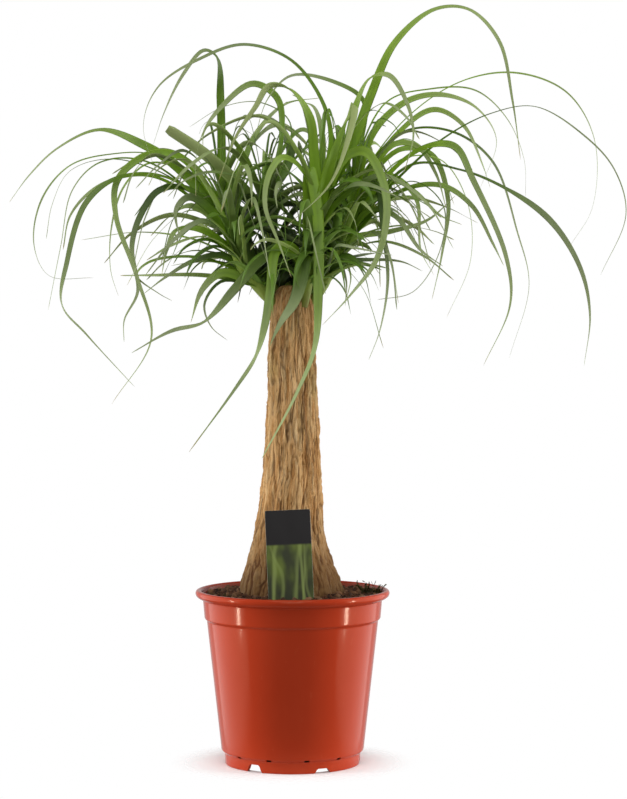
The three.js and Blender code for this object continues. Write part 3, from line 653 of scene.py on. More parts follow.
def guide_line(leaf, tint, finest=FINEST):
    points = leaf["points"]
    count = max(10, round(line_length(points) / POINT_GAP))
    shares = [i / count for i in range(count + 1)]
    widths = [0.5 * max(finest, 2 * half_width(leaf, share, CLASP)) for share in shares]
    widths[-1] *= max(0.25, leaf.get("cut", 0))
    grown = GROWN_TO_CUT if leaf.get("cut", 0) else 1
    return {
        "place": [spline(points, share) for share in shares],
        "face": [facing(leaf, share) for share in shares],
        "half_width": [width * MM for width in widths],
        "along": [share * grown for share in shares],
        "tint": [tint] * len(shares),
        "youth": [leaf["height"]] * len(shares),
    }


def guide_mesh(name, lines):
    places = np.concatenate([np.array(line["place"]) for line in lines]) * MM
    edges, first = [], 0
    for line in lines:
        edges += [(first + i, first + i + 1) for i in range(len(line["place"]) - 1)]
        first += len(line["place"])
    mesh = bpy.data.meshes.new(name)
    mesh.from_pydata(places.tolist(), edges, [])
    for label in lines[0]:
        if label == "place":
            continue
        values = np.concatenate([np.array(line[label], np.float32) for line in lines])
        kind, field = ("FLOAT_VECTOR", "vector") if values.ndim == 2 else ("FLOAT", "value")
        mesh.attributes.new(label, kind, "POINT").data.foreach_set(field, values.ravel())
    return mesh


# %% The tree that sweeps blades along their guide lines
def blade_tree():
    inputs = {"Thickness": "size", "Channel": "size", "Section Points": "count", "Leaf": "material"}
    board = new_tree("strap_blades", inputs)
    given = board.given.out
    midribs = board.add("GeometryNodeMeshToCurve", None, {"Mesh": given("Geometry")})
    face = named(board, "face", "FLOAT_VECTOR")
    midribs = board.add("GeometryNodeSetCurveNormal", {"mode": "FREE"}, {"Curve": midribs, "Normal": face})

    # The section: a circle pressed flat, which remembers how far to the side each of its points lies
    ring = board.add("GeometryNodeCurvePrimitiveCircle", None, {"Resolution": given("Section Points")})
    spot = board.add("ShaderNodeSeparateXYZ", None, {"Vector": board.add("GeometryNodeInputPosition")})
    values = {"X": spot.out("X") * given("Thickness"), "Y": spot.out("Y")}
    flat = board.add("ShaderNodeCombineXYZ", None, values)
    section = board.add("GeometryNodeSetPosition", None, {"Geometry": ring, "Position": flat})
    section = store(board, section, "side", spot.out("Y"))
    half_wide = named(board, "half_width")
    values = {"Curve": midribs, "Profile Curve": section, "Scale": half_wide, "Fill Caps": True}
    blades = board.add("GeometryNodeCurveToMesh", None, values)

    # The gutter: both margins rise, most of all where the leaf clasps its stem
    side, along = named(board, "side"), named(board, "along")
    rise = side * side * half_wide * given("Channel") * (1 + 2.5 * (1 - along) ** 14)
    lift = board.vectors("SCALE", face, rise)
    blades = board.add("GeometryNodeSetPosition", None, {"Geometry": blades, "Offset": lift})
    outward = board.add("GeometryNodeInputNormal")
    upper = board.vectors("DOT_PRODUCT", outward, face)
    end_tree(board, store(board, blades, "upper", upper), given("Leaf"))
    return board


# %% [markdown]
# The upper side of a leaf is a fresh green with fine veins that run its whole length, the underside is
# paler and greyer, young leaves are yellow-green at the base, and old tips dry out brown. The middle fold
# is darkened as painted shade. All of this follows the leaf, not space, so the colour is worked out from
# the numbers that the tree stored on the mesh. Only the painted shade in the crown's middle goes by the
# distance from one place.


# %% The leaf's material
SHADED_CORE = (-0.015, 0.06, 0.5)  # m, the middle of the painted shade inside the crown


def leaf_material(name, dark, fresh, young, underside, aged):
    material, board = new_material(name, {"Specular IOR Level": 0.35})
    along, side = board.attribute("along"), board.attribute("side")
    tint, youth = board.attribute("tint"), board.attribute("youth")
    spot = board.object_place()
    cloud = board.noise(spot, 45, 3)
    shade = board.step(tint * 0.8 + cloud * 0.4, 0.25, 0.95)
    body = board.mix(shade, dark, fresh)
    body = board.mix(board.step(tint, 0.55, 0.9) * 0.3, body, underside)
    strand = board.maths("SINE", side * 15 + cloud * 5) * 0.5 + 0.5
    fine = board.maths("SINE", side * 37 + tint * 30) * 0.5 + 0.5
    veins = strand * 0.75 + fine * 0.25
    body = board.mix(veins * 0.14, body, young)
    # Painted shade: the blade's middle fold is darkened, as if shaded by its raised margins
    gutter_shade = (1 - abs(side)) ** 3
    body = board.mix(gutter_shade * 0.25, body, dark)
    outer = board.step(along, 0.25, 0.75)
    body = board.mix(outer * (0.5 + 0.45 * cloud), body, aged)
    heart = (1 - along) ** 4 * board.step(youth, 0.2, 0.95)
    body = board.mix(board.maths("MINIMUM", heart * 1.1, 1.0), body, young)
    from_core = board.vectors("DISTANCE", spot, SHADED_CORE)
    below = 1 - board.step(board.attribute("upper"), -0.35, -0.05)
    body = board.mix(below * (0.3 + 0.4 * outer), body, underside)
    # Painted shade: leaves darken towards the crown's middle, less so at the young hearts
    core_shade = (1 - board.step(from_core, 0.045, 0.1)) * (1 - 0.6 * heart)
    body = board.mix(core_shade * 0.8, body, "182806")
    dry = board.step(along, 0.94, 1.0) * board.step(tint, 0.45, 0.6)
    body = board.mix(dry * 0.8, body, "a08a50")
    rough = 0.42 + 0.12 * cloud + below * 0.15
    finish_surface(board, body, rough, veins + cloud * 0.5, 0.06, 0.0002)
    return material


leaf_green = leaf_material("strap_leaf", "26420a", "88ae22", "7ca614", "9ca86a", "9eaa7a")
inner_green = leaf_material("inner_leaf", "28450c", "6f9c1c", "80aa16", "7c9448", "60802c")

# %% Leaves of each shoot
LEAF_SIZES = {"Thickness": 0.1, "Channel": 0.22, "Section Points": 8}
TINT_SEED = 140
blades = blade_tree()
tints = Dice(TINT_SEED)
for shoot in SHOOTS:
    lines = [guide_line(leaf, tints.draw()) for leaf in leaves if leaf["shoot"] == shoot]
    inputs = {**LEAF_SIZES, "Leaf": leaf_green}
    piece = grow(f"leaves_{shoot}", guide_mesh(f"midribs_{shoot}", lines), blades, inputs)
    place(piece, "leaf", f"shoot_{shoot}")

# %% [markdown]
# ## Young leaves, inner leaves and fine curls
# A living crown is denser than its solid. In each heart stand young leaves that haven't opened yet.
# Round the stems many short leaves fill the inside, where it is dark. Past the crown hang thread-thin
# curls. They follow looser rules, because they may touch what is beside them.


# %% Three more kinds of leaf
def arching_leaf(shoot, place_on_stem, turn, reach, rise, fall, wide, twist, height, curl=0.0):
    base = stem_point(shoot, place_on_stem)
    way = np.array([math.cos(turn), math.sin(turn), 0.0])
    beside = np.array([-way[1], way[0], 0.0])
    arch = [(0.22, 0.6 * rise, 0), (0.56, rise, 0.25), (0.85, rise - 0.35 * fall, 0.7), (1, rise - fall, 1)]
    points = [
        base + way * out * reach + beside * curl * aside + np.array([0, 0, up]) for out, up, aside in arch
    ]
    return {
        "shoot": shoot, "wide": wide, "twists": twist, "points": [base, *points], "across": beside,
        "height": height,
    }


def young_leaf(shoot, number, dice):
    turn = math.radians(GOLDEN_ANGLE * number + 40 * dice.draw())
    reach, rise = dice.between(10, 50), dice.between(45, 90)
    twist = (dice.between(-30, 30), dice.between(-50, 50))
    fall, wide = dice.between(0, 30), dice.between(3, 6.5)
    return arching_leaf(shoot, 0.96, turn, reach, rise, fall, wide, twist, 1.0)


def inner_leaf(shoot, number, dice):
    turn = math.radians(GOLDEN_ANGLE * number + 60 * dice.draw())
    where = dice.between(0.15, 0.95)
    reach, rise, fall = dice.between(35, 85), dice.between(12, 50), dice.between(5, 45)
    twist = (dice.between(-40, 40), dice.between(-80, 80))
    return arching_leaf(shoot, where, turn, reach, rise, fall, dice.between(6, 14), twist, 0.35)


def fine_curl(shoot, number, dice):
    turn = math.radians(GOLDEN_ANGLE * number + 50 * dice.draw())
    across = abs(math.cos(turn))
    reach = dice.between(60, 100) + 60 * across * dice.draw()
    rise, fall = dice.between(25, 75), dice.between(20, 100)
    twist = (dice.between(-30, 30), dice.between(-90, 90))
    where = dice.between(0.4, 1)
    return arching_leaf(
        shoot, where, turn, reach, rise, fall, dice.between(1.2, 2.6), twist, 0.6, dice.between(-60, 60)
    )


# %% Growing them
MORE_LEAVES = {  # the rule that each kind follows, how many of it stand on each shoot, and its seed
    "young_leaves": (young_leaf, 6, 18),
    "inner_leaves": (inner_leaf, 19, 31),
    "fine_curls": (fine_curl, 3, 13),
}
for name, (rule, each, seed) in MORE_LEAVES.items():
    dice = Dice(seed)
    lines = []
    for shoot in SHOOTS:
        lines += [guide_line(rule(shoot, number, dice), dice.draw(), 0.5) for number in range(each)]
    inputs = {**LEAF_SIZES, "Section Points": 6, "Leaf": inner_green}
    place(grow(name, guide_mesh(name, lines), blades, inputs), "leaf")

# %% [markdown]
# ## Stems and roots
# The stems show low in the crown: green and thick as a finger, ringed by old leaf bases. The roots are
# hidden in the soil. Both are round rods of changing thickness, so one tree sweeps a circle along their
# guide lines, and a little noise keeps them from looking turned on a lathe.


# %% The tree that sweeps round rods
def rod_tree():
    board = new_tree("round_rods", {"Bulge": "size", "Bark": "material"})
    given = board.given.out
    lines = board.add("GeometryNodeMeshToCurve", None, {"Mesh": given("Geometry")})
    ring = board.add("GeometryNodeCurvePrimitiveCircle", None, {"Resolution": 20})
    values = {"Curve": lines, "Profile Curve": ring, "Scale": named(board, "half_width"), "Fill Caps": True}
    rods = board.add("GeometryNodeCurveToMesh", None, values)
    spot = board.add("GeometryNodeInputPosition")
    bumps = board.noise(spot, 160, 2) - 0.5
    outward = board.add("GeometryNodeInputNormal")
    shift = board.vectors("SCALE", outward, bumps * given("Bulge"))
    rods = board.add("GeometryNodeSetPosition", None, {"Geometry": rods, "Offset": shift})
    end_tree(board, rods, given("Bark"))
    return board


ROD_STEPS = 32


def rod_line(points, radii):
    shares = [i / ROD_STEPS for i in range(ROD_STEPS + 1)]
    thickness = [float(np.interp(share, np.linspace(0, 1, len(radii)), radii)) for share in shares]
    return {
        "place": [spline(points, share) for share in shares],
        "half_width": [radius * MM for radius in thickness],
        "along": shares,
    }


# %% Stem and root materials
def stem_material():
    material, board = new_material("green_stem", {"Specular IOR Level": 0.35})
    along = board.attribute("along")
    cloud = board.noise(board.object_place((1, 1, 0.3)), 220, 4)
    stops = [(0.0, "6a5a2c"), (0.3, "7d8c34"), (0.7, "86a038"), (1.0, "93aa45")]
    skin = board.ramp(along * 0.8 + cloud * 0.3, stops)
    finish_surface(board, skin, 0.5 + 0.2 * cloud, cloud, 0.5, 0.0008)
    return material


def root_material():
    material, board = new_material("pale_root", {})
    cloud = board.noise(board.object_place(), 150, 4)
    finish_surface(board, board.mix(cloud, "8a6a44", "c0a378"), 0.8, cloud, 0.4)
    return material


# %% Stems and roots
TRUNK_ROOTS = [  # turn in degrees, reach and lowest point in mm
    (15, 44, 40), (88, 36, 62), (160, 46, 34), (231, 38, 56), (302, 45, 30),
]
ROOT_RADII = [9, 6, 4, 1.6]
rods = rod_tree()
stem_lines = [rod_line([np.array(p, float) for p in shoot["stem"]], STEM_RADII) for shoot in SHOOTS.values()]
stem_inputs = {"Bulge": 0.0016, "Bark": stem_material()}
place(grow("stems", guide_mesh("stems", stem_lines), rods, stem_inputs), "leaf")


def root_points(turn, reach, lowest):
    way = np.array([math.cos(math.radians(turn)), math.sin(math.radians(turn)), 0])
    falls = [(8, 118), (0.55 * reach, 96), (0.8 * reach, 75), (reach, lowest)]
    return [way * out + np.array([0, 0, height]) for out, height in falls]


root_lines = [rod_line(root_points(*root), ROOT_RADII) for root in TRUNK_ROOTS]
root_inputs = {"Bulge": 0.0015, "Bark": root_material()}
place(grow("roots", guide_mesh("roots", root_lines), rods, root_inputs), "bark")

# %% [markdown]
# ## Trunk
# The bark is corky and split into long plates with dark fissures between them. A bump map alone would
# leave the outline smooth, so the fissures are cut into the mesh itself: a pattern of cells, stretched
# upwards and bent by noise, is deep where two cells meet. The depth is stored on the mesh, and the
# colour follows it. Round the swollen foot the plates widen with the trunk, but less than it does,
# because bark splits anew as it swells.

# %% Skins over rings of points
def skin_mesh(name, rings, attributes=None):
    """A closed skin over rings with the same number of points, with a pole at each end."""
    count, sides = len(rings), len(rings[0])
    points = np.concatenate([np.array(ring) for ring in rings])
    poles = [np.mean(rings[0], axis=0), np.mean(rings[-1], axis=0)]
    faces = []
    for ring in range(count - 1):
        for side in range(sides):
            a, b = ring * sides + side, ring * sides + (side + 1) % sides
            faces.append((a, b, b + sides, a + sides))
    low, high, last = len(points), len(points) + 1, (count - 1) * sides
    for side in range(sides):
        following = (side + 1) % sides
        faces.append((low, following, side))
        faces.append((high, last + side, last + following))
    mesh = bpy.data.meshes.new(name)
    mesh.from_pydata((np.vstack([points, poles]) * MM).tolist(), [], faces)
    for label, values in (attributes or {}).items():
        full = np.append(np.ravel(values), [np.ravel(values)[0], np.ravel(values)[-1]]).astype(np.float32)
        mesh.attributes.new(label, "FLOAT", "POINT").data.foreach_set("value", full)
    mesh.polygons.foreach_set("use_smooth", [True] * len(faces))
    return mesh


# %% How deep the bark is at a place
def ridges(angle, height):
    """The broad ridges of the CAD trunk."""
    wander = 0.25 * math.sin(height / 37)
    broad = math.sin(5 * angle + 3 * wander + height / 90)
    narrow = math.sin(11 * angle - 6 * wander + 2 * math.sin(height / 23))
    fine = math.sin(17 * angle + 5 * math.sin(height / 31))
    fade = min(1, max(0, (height - 100) / 40)) * min(1, max(0, (466 - height) / 20))
    return fade * (0.7 * broad + 0.8 * narrow + 0.5 * fine)


BROAD_PLATES = (5, 80, 0.14)  # mm across, mm long, and the share of a plate that slopes into its fissure
NARROW_PLATES = (2.1, 24, 0.22)


def plate(x, y, height, size, length, share):
    """How high a long plate of bark lies, and 1 on the line to the next plate, falling to 0 beside it."""
    distances, middles = noise.voronoi(Vector((x / size, y / size, height / length)))
    level = noise.noise(middles[0] * 9.7)
    return level, max(0.0, 1 - (distances[1] - distances[0]) / share)


def bark(x, y, height):
    """Relief in millimetres, how much of a fissure it is, and the tone of the plate, both from 0 to 1."""
    sway = noise.noise_vector(Vector((x / 24, y / 24, height / 34)))
    shake = noise.noise_vector(Vector((x / 5, y / 5, height / 8)))
    x, y, height = x + 3 * sway.x + 0.8 * shake.x, y + 3 * sway.y + 0.8 * shake.y, height + 2 * shake.z
    low = min(1, max(0, (260 - height) / 60))
    here = min(1.0, max(0.0, 0.45 + 0.4 * low + 1.3 * noise.noise(Vector((x / 9, y / 9, height / 40)))))
    broad, deep = plate(x, y, height, *BROAD_PLATES)
    narrow, thin = plate(x + 40, y, height, *NARROW_PLATES)
    rough = noise.fractal(Vector((x / 1.8, y / 1.8, height / 7)), 0.9, 2.0, 4)
    split = mix(0.3, 1, here) * deep
    relief = 0.1 + 0.8 * broad + 0.9 * narrow + 0.7 * rough - 1.3 * split - 0.5 * thin
    return relief, min(1.0, 0.95 * split + 0.45 * thin), 0.5 + 0.5 * broad + 0.6 * narrow


# %% The trunk's rings
def even_outline(outline, count):
    """Points at even distances along the smooth curve through an outline of [radius, height]."""
    corners = [np.array([radius, 0.0, height]) for radius, height in outline]
    fine = np.array([spline(corners, i / 800) for i in range(801)])
    gone = np.concatenate([[0], np.cumsum(np.linalg.norm(np.diff(fine, axis=0), axis=1))])
    wanted = np.linspace(0, gone[-1], count + 2)[1:-1]
    return [(np.interp(w, gone, fine[:, 0]), np.interp(w, gone, fine[:, 2])) for w in wanted]


TRUNK_SIDES = 300
TRUNK_RINGS = 300
STEADY_RADIUS = 30  # mm, where the plates have their true width
STRETCH = 0.65  # how much the plates widen with the trunk, from 0 to 1
BARK_SEED = 4  # the noise vectors that bend the pattern start from a draw
noise.seed_set(BARK_SEED)
rings, fissures, plates = [], [], []
for radius, height in even_outline(TRUNK_OUTLINE, TRUNK_RINGS):
    ring = []
    for side in range(TRUNK_SIDES):
        angle = 2 * math.pi * side / TRUNK_SIDES
        x, y = radius * math.cos(angle), radius * math.sin(angle)
        steady = mix(1, STEADY_RADIUS / radius, STRETCH)
        relief, fissure, tone = bark(x * steady, y * steady, height)
        out = radius + ridges(angle, height) + relief * min(1, radius / 12)
        ring.append((trunk_lean(height) + out * math.cos(angle), out * math.sin(angle), height))
        fissures.append(fissure)
        plates.append(tone)
    rings.append(ring)
print("trunk rings:", len(rings), "of", TRUNK_SIDES, "points")


# %% Bark material
def bark_material():
    material, board = new_material("corky_bark", {"Specular IOR Level": 0.2})
    fissure = board.attribute("fissure")
    spot = board.object_place()
    height = board.add("ShaderNodeSeparateXYZ", None, {"Vector": spot}).out("Z")
    streak = board.noise(board.object_place((1, 1, 0.14)), 320, 5, 0.65)
    patch = board.noise(board.object_place((1, 1, 0.4)), 38, 3)
    grain = board.noise(spot, 900, 4, 0.7)
    tone = patch * 0.25 + streak * 0.5 + grain * 0.22 + board.attribute("plate") * 0.24
    cork = board.ramp(tone, [(0.32, "744b25"), (0.5, "a67743"), (0.62, "c59a65"), (0.85, "dfc090")])
    upper = board.step(height, 0.3, 0.36) * (1 - board.step(height, 0.41, 0.46))
    cork = board.mix(board.step(patch, 0.55, 0.75) * upper * 0.25, cork, "8a8a4a")
    foot = 1 - board.step(height + patch * 0.05, 0.2, 0.31)
    cork = board.mix(foot * 0.82, cork, "4c3214")
    crown = board.step(height, 0.415, 0.46)
    cork = board.mix(crown * 0.25, cork, "6b4426")
    dark = board.step(fissure + (streak - 0.5) * 0.5, 0.1, 0.8)
    cork = board.mix(dark * (0.65 + 0.15 * foot), cork, "482810")
    finish_surface(board, cork, 0.82 + 0.1 * grain, streak * 0.8 + grain * 0.5, 0.6, 0.0012)
    return material


# %% Trunk
trunk_mesh = skin_mesh("bark_trunk", rings, {"fissure": fissures, "plate": plates})
trunk_mesh.materials.append(bark_material())
place(new_object("bark_trunk", trunk_mesh), "bark", "trunk")

# %% [markdown]
# ## Nursery pot
# An injection-moulded pot is a body of revolution: a rolled lip, an upper band that ends in a step, a
# tapered wall and a foot ring with notches that let water out. Its outline is turned about the upright
# axis after each corner has become a short arc, because a moulded edge is never sharp. The notches,
# slots and drain holes are cut out. The plastic is glossy, with faint upright flow marks and scuffs, and
# the wall inside the lip is darkened with painted shade.

# %% The pot's outline and the shape of a turned piece
POT_OUTLINE = [
    (0, 0), (17, 0), (18, 8), (61.5, 8), (62.5, 0), (66, 0), (66.5, 11), (69.6, 13.5), (83.8, 140.5),
    (86, 142.5), (87.6, 161), (91.6, 162.2), (94.3, 164.4), (95, 167), (94.3, 169), (92.6, 170), (90.4, 170),
    (88.8, 168.5), (85.7, 158), (84, 144), (81.8, 138.5), (67.4, 14), (65, 10.5), (0, 10.5),
]
POT_SIDES = 160
EDGE_REACH = 1.1  # mm from a corner to where its arc starts
EDGE_SHARE = 0.42  # of an edge, the most that an arc takes


def softened(outline, reach):
    """The same outline with each corner turned into a short arc."""
    soft = [np.array(outline[0], float)]
    for before, corner, after in zip(outline, outline[1:], outline[2:]):
        before, corner, after = (np.array(point, float) for point in (before, corner, after))
        shorter = min(math.dist(before, corner), math.dist(corner, after))
        cut = min(reach, EDGE_SHARE * shorter)
        start, end = corner + unit(before - corner) * cut, corner + unit(after - corner) * cut
        for t in (0, 0.25, 0.5, 0.75, 1):
            soft.append((1 - t) ** 2 * start + 2 * t * (1 - t) * corner + t**2 * end)
    return [*soft, np.array(outline[-1], float)]


def turned_rings(outline, sides):
    rings = []
    for radius, height in outline:
        angles = [2 * math.pi * side / sides for side in range(sides)]
        rings.append([(radius * math.cos(a), radius * math.sin(a), height) for a in angles])
    return rings


# %% Prisms, which cut the pot and make the label's card
def turned(a, b, angle):
    """A point of a plane, turned about the plane's origin by an angle in degrees."""
    cos, sin = math.cos(math.radians(angle)), math.sin(math.radians(angle))
    return a * cos - b * sin, a * sin + b * cos


def prism_faces(n):
    sides = [(i, (i + 1) % n, n + (i + 1) % n, n + i) for i in range(n)]
    return [tuple(reversed(range(n))), tuple(range(n, 2 * n)), *sides]


def prism(outline, near, far, turn):
    """A prism with its outline in x and z, between two depths towards the front, turned about the axis."""
    points = [(*turned(x, -depth, turn), z) for depth in (near, far) for x, z in outline]
    return points, prism_faces(len(outline))


def mirrored(right):
    """The closed outline whose right half is given, from its foot up."""
    return right + [(-x, z) for x, z in reversed(right)]


# %% What is cut out of the pot
NOTCHES = 6
FIRST_NOTCH = -34  # degrees round from the front
NOTCH_HEIGHTS = [7.5, 4.5]  # high and low notches by turns
SLOT_TURN = 14.5  # degrees from a notch to the slots beside it
SLOT = [(-2.5, 11.4), (2.5, 11.4), (2.5, 13.6), (-2.5, 13.6)]
DRAIN_CIRCLE = 42  # mm from the axis
DRAIN_RADIUS = 5
DRAIN_SIDES = 24


def notch(height):
    return mirrored([(10, -1), (9, 0), (7.3, 0.35 * height), (6.2, 0.8 * height), (4.6, height)])


def drain_hole(turn):
    x, y = DRAIN_CIRCLE * math.sin(math.radians(turn)), -DRAIN_CIRCLE * math.cos(math.radians(turn))
    angles = [2 * math.pi * i / DRAIN_SIDES for i in range(DRAIN_SIDES)]
    circle = [(x + DRAIN_RADIUS * math.cos(angle), y + DRAIN_RADIUS * math.sin(angle)) for angle in angles]
    return [(a, b, z) for z in (5, 14) for a, b in circle], prism_faces(DRAIN_SIDES)


cuts = []
for i in range(NOTCHES):
    turn = FIRST_NOTCH + 360 / NOTCHES * i
    cuts.append(prism(notch(NOTCH_HEIGHTS[i % 2]), 59.5, 71.5, turn))
    cuts += [prism(SLOT, 58.5, 74.5, turn + side) for side in (-SLOT_TURN, SLOT_TURN)]
    cuts.append(drain_hole(turn + 180 / NOTCHES))
print("cuts in the pot:", len(cuts))


# %% Cutting the pot and making it smooth between its sharp edges
def joined_mesh(name, parts):
    points, faces = [], []
    for part_points, part_faces in parts:
        faces += [tuple(len(points) + i for i in face) for face in part_faces]
        points += part_points
    mesh = bpy.data.meshes.new(name)
    mesh.from_pydata([tuple(c * MM for c in point) for point in points], [], faces)
    return mesh


pot_outline = softened(POT_OUTLINE, EDGE_REACH)[1:-1]
pot = new_object("nursery_pot", skin_mesh("nursery_pot", turned_rings(pot_outline, POT_SIDES)))
cutter = new_object("cutter", joined_mesh("cutter", cuts))
modifier = pot.modifiers.new("cut", "BOOLEAN")
modifier.operation, modifier.solver, modifier.object = "DIFFERENCE", "EXACT", cutter
cut_mesh = plain_mesh(pot)
pot.modifiers.clear()
pot.data = cut_mesh
bpy.data.objects.remove(cutter)
pot.data.polygons.foreach_set("use_smooth", [True] * len(pot.data.polygons))
pot.data.set_sharp_from_angle(angle=math.radians(40))
print("faces of the pot after the cuts:", len(pot.data.polygons))


# %% Pot material
def pot_material():
    constants = {"Specular IOR Level": 0.17, "Specular Tint": (1, 0.75, 0.5, 1)}
    material, board = new_material("terracotta_plastic", constants)
    spot = board.object_place()
    cloud = board.noise(spot, 14, 3)
    flow = board.noise(board.object_place((1, 1, 0.2)), 60, 4, 0.6)
    grain = board.noise(spot, 1400, 2)
    colour = board.mix(cloud * 0.7 + flow * 0.3, "a03016", "b03c22")
    scuff = board.step(board.noise(board.object_place((1, 1, 0.25)), 210, 6, 0.7), 0.6, 0.78)
    colour = board.mix(scuff * 0.08, colour, "d08062")
    height = board.add("ShaderNodeSeparateXYZ", None, {"Vector": spot}).out("Z")
    from_axis = board.vectors("LENGTH", board.vectors("MULTIPLY", spot, (1, 1, 0)))
    # Painted shade: the wall inside the lip, above the soil, is darkened
    inner_wall_shade = board.step(height, 0.161, 0.163) * (1 - board.step(from_axis, 0.0885, 0.0905))
    colour = board.mix(inner_wall_shade * 0.6, colour, "5e1812")
    finish_surface(board, colour, 0.11 + 0.05 * flow + scuff * 0.1, grain * 0.5 + flow, 0.08, 0.0003)
    return material


pot.data.materials.clear()
pot.data.materials.append(pot_material())
place(pot, "pot", "pot")

# %% [markdown]
# ## Soil
# Potting soil is peat crumbs, bark chips and fibres. From far it reads as one dark rough surface, but
# its edge against the bright rim shows the single crumbs. So a bed with an uneven top fills the pot, and
# Geometry Nodes scatter crumbs and chips of twenty faces each over it, every one turned, stretched and
# toned by chance.

# %% The soil bed
SOIL_TOP = 165
SOIL_SIDES = 160
BED_FOOT = 10.9  # mm, on the pot's floor
BED_STEP = 1.6  # mm between the rings of the bed's top
INTO_TRUNK = 0.8  # mm that the soil reaches into the bark, so that no gap shows


def soil_height(x, y):
    lumps = math.sin(x / 7 + 2 * math.sin(y / 13)) * math.cos(y / 6 + x / 17)
    rough = noise.fractal(Vector((x / 9, y / 9, 3)), 1.0, 2.0, 4)
    around_trunk = 2.5 * math.exp(-(((math.hypot(x, y) - 50) / 12) ** 2))
    return SOIL_TOP + 1.2 * lumps + 1.3 * rough + around_trunk


wall = [(64.6, BED_FOOT), (66.6, 14.5), (81, 138.6), (83.2, 144.2), (85.6, 161.5)]
top = [(wall[-1][0] - BED_STEP * i, SOIL_TOP) for i in range(1, 23)]
hollow = [(radius - INTO_TRUNK, height) for radius, height in TRUNK_OUTLINE[3::-1] if radius > 10]
bed_rings = turned_rings([(2, BED_FOOT), *wall, *top, *hollow, (2, 91)], SOIL_SIDES)
bed_rings = [[(x, y, soil_height(x, y) if z == SOIL_TOP else z) for x, y, z in ring] for ring in bed_rings]
bed = skin_mesh("soil_bed", bed_rings)


# %% Soil materials
def soil_material(name, dark, light):
    material, board = new_material(name, {"Specular IOR Level": 0.25})
    spot = board.object_place()
    cloud, grain = board.noise(spot, 90, 4, 0.65), board.noise(spot, 700, 5, 0.7)
    tone = board.step(board.attribute("tone") * 0.5 + cloud * 0.5 + grain * 0.4, 0.35, 1.15)
    colour = board.mix(tone, dark, light)
    finish_surface(board, colour, 0.75 + 0.2 * grain, grain + cloud, 0.7, 0.0015)
    return material


peat = soil_material("dark_peat", "20120a", "6a4228")
bed.materials.append(peat)
place(new_object("soil_bed", bed), "soil", "soil")


# %% The tree that scatters crumbs
def crumb_tree():
    sizes = dict.fromkeys(["Density", "Smallest", "Largest", "Flatness"], "size")
    board = new_tree("crumbs", {**sizes, "Soil": "material"})
    given = board.given.out
    values = {"Mesh": given("Geometry"), "Density": given("Density"), "Seed": 5}
    points = board.add("GeometryNodeDistributePointsOnFaces", {"distribute_method": "RANDOM"}, values)
    ball = board.add("GeometryNodeMeshIcoSphere", None, {"Radius": 1.0, "Subdivisions": 1})
    spot = board.add("GeometryNodeInputPosition")
    dents = board.add("ShaderNodeTexNoise", None, {"Vector": spot, "Scale": 1.4}, "Color")
    dents = board.vectors("SUBTRACT", dents, (0.5, 0.5, 0.5))
    dents = board.vectors("SCALE", dents, 1.6)
    crumb = board.add("GeometryNodeSetPosition", None, {"Geometry": ball, "Offset": dents})
    values = {"Max": (6.3, 6.3, 6.3), "Seed": 1}  # up to a full turn about each axis, in radians
    spin = board.add("FunctionNodeRandomValue", {"data_type": "FLOAT_VECTOR"}, values)
    between = {"Min": given("Smallest"), "Max": given("Largest")}
    long, wide, thick = (
        board.add("FunctionNodeRandomValue", None, {**between, "Seed": seed}) for seed in (2, 3, 4)
    )
    size = board.add("ShaderNodeCombineXYZ", None, {"X": long, "Y": wide, "Z": thick * given("Flatness")})
    values = {"Points": points, "Instance": crumb, "Rotation": spin, "Scale": size}
    crumbs = board.add("GeometryNodeInstanceOnPoints", None, values)
    tone = board.add("FunctionNodeRandomValue", None, {"Seed": 9})
    end_tree(board, store(board, crumbs, "tone", tone, domain="INSTANCE"), given("Soil"))
    return board


# %% Crumbs and chips on the top of the soil
TOP_START = 51  # mm from the axis, beside the trunk's foot
TOP_STEP = 2.1  # mm
TOP_RINGS = 17
TOP_SIDES = 72


def soil_top_mesh():
    rings = turned_rings([(TOP_START + TOP_STEP * i, 0) for i in range(TOP_RINGS)], TOP_SIDES)
    points = [(x * MM, y * MM, soil_height(x, y) * MM) for ring in rings for x, y, _ in ring]
    faces = []
    for ring in range(TOP_RINGS - 1):
        for side in range(TOP_SIDES):
            a, b = ring * TOP_SIDES + side, ring * TOP_SIDES + (side + 1) % TOP_SIDES
            faces.append((a, a + TOP_SIDES, b + TOP_SIDES, b))
    mesh = bpy.data.meshes.new("soil_top")
    mesh.from_pydata(points, [], faces)
    return mesh


crumbs = crumb_tree()
CRUMBS = {  # how many to a square metre, their sizes in metres and how flat they lie
    "soil_crumbs": {"Density": 230000.0, "Smallest": 0.0007, "Largest": 0.0022, "Flatness": 0.8},
    "bark_chips": {"Density": 12000.0, "Smallest": 0.0018, "Largest": 0.0055, "Flatness": 0.35},
}
chip_tone = soil_material("bark_chip", "3a2418", "8e6848")
for name, sizes in CRUMBS.items():
    finish = peat if name == "soil_crumbs" else chip_tone
    place(grow(name, soil_top_mesh(), crumbs, {**sizes, "Soil": finish}), "soil")

# %% [markdown]
# At the right of the pot a tuft of dry moss stands over the rim, and a lower one grows at the left.
# Their crooked stalks are narrow bands to the eye, so they are made by the same tree as the leaves, with
# guide lines that change their way at every bend.


# %% Moss
MOSS_SEED = 31
MOSS_BENDS = 4
MOSS_TUFTS = [((77, 8), 9, 22, 40), ((-66, -30), 12, 10, 16)]  # middle, spread, longest stalk, stalks


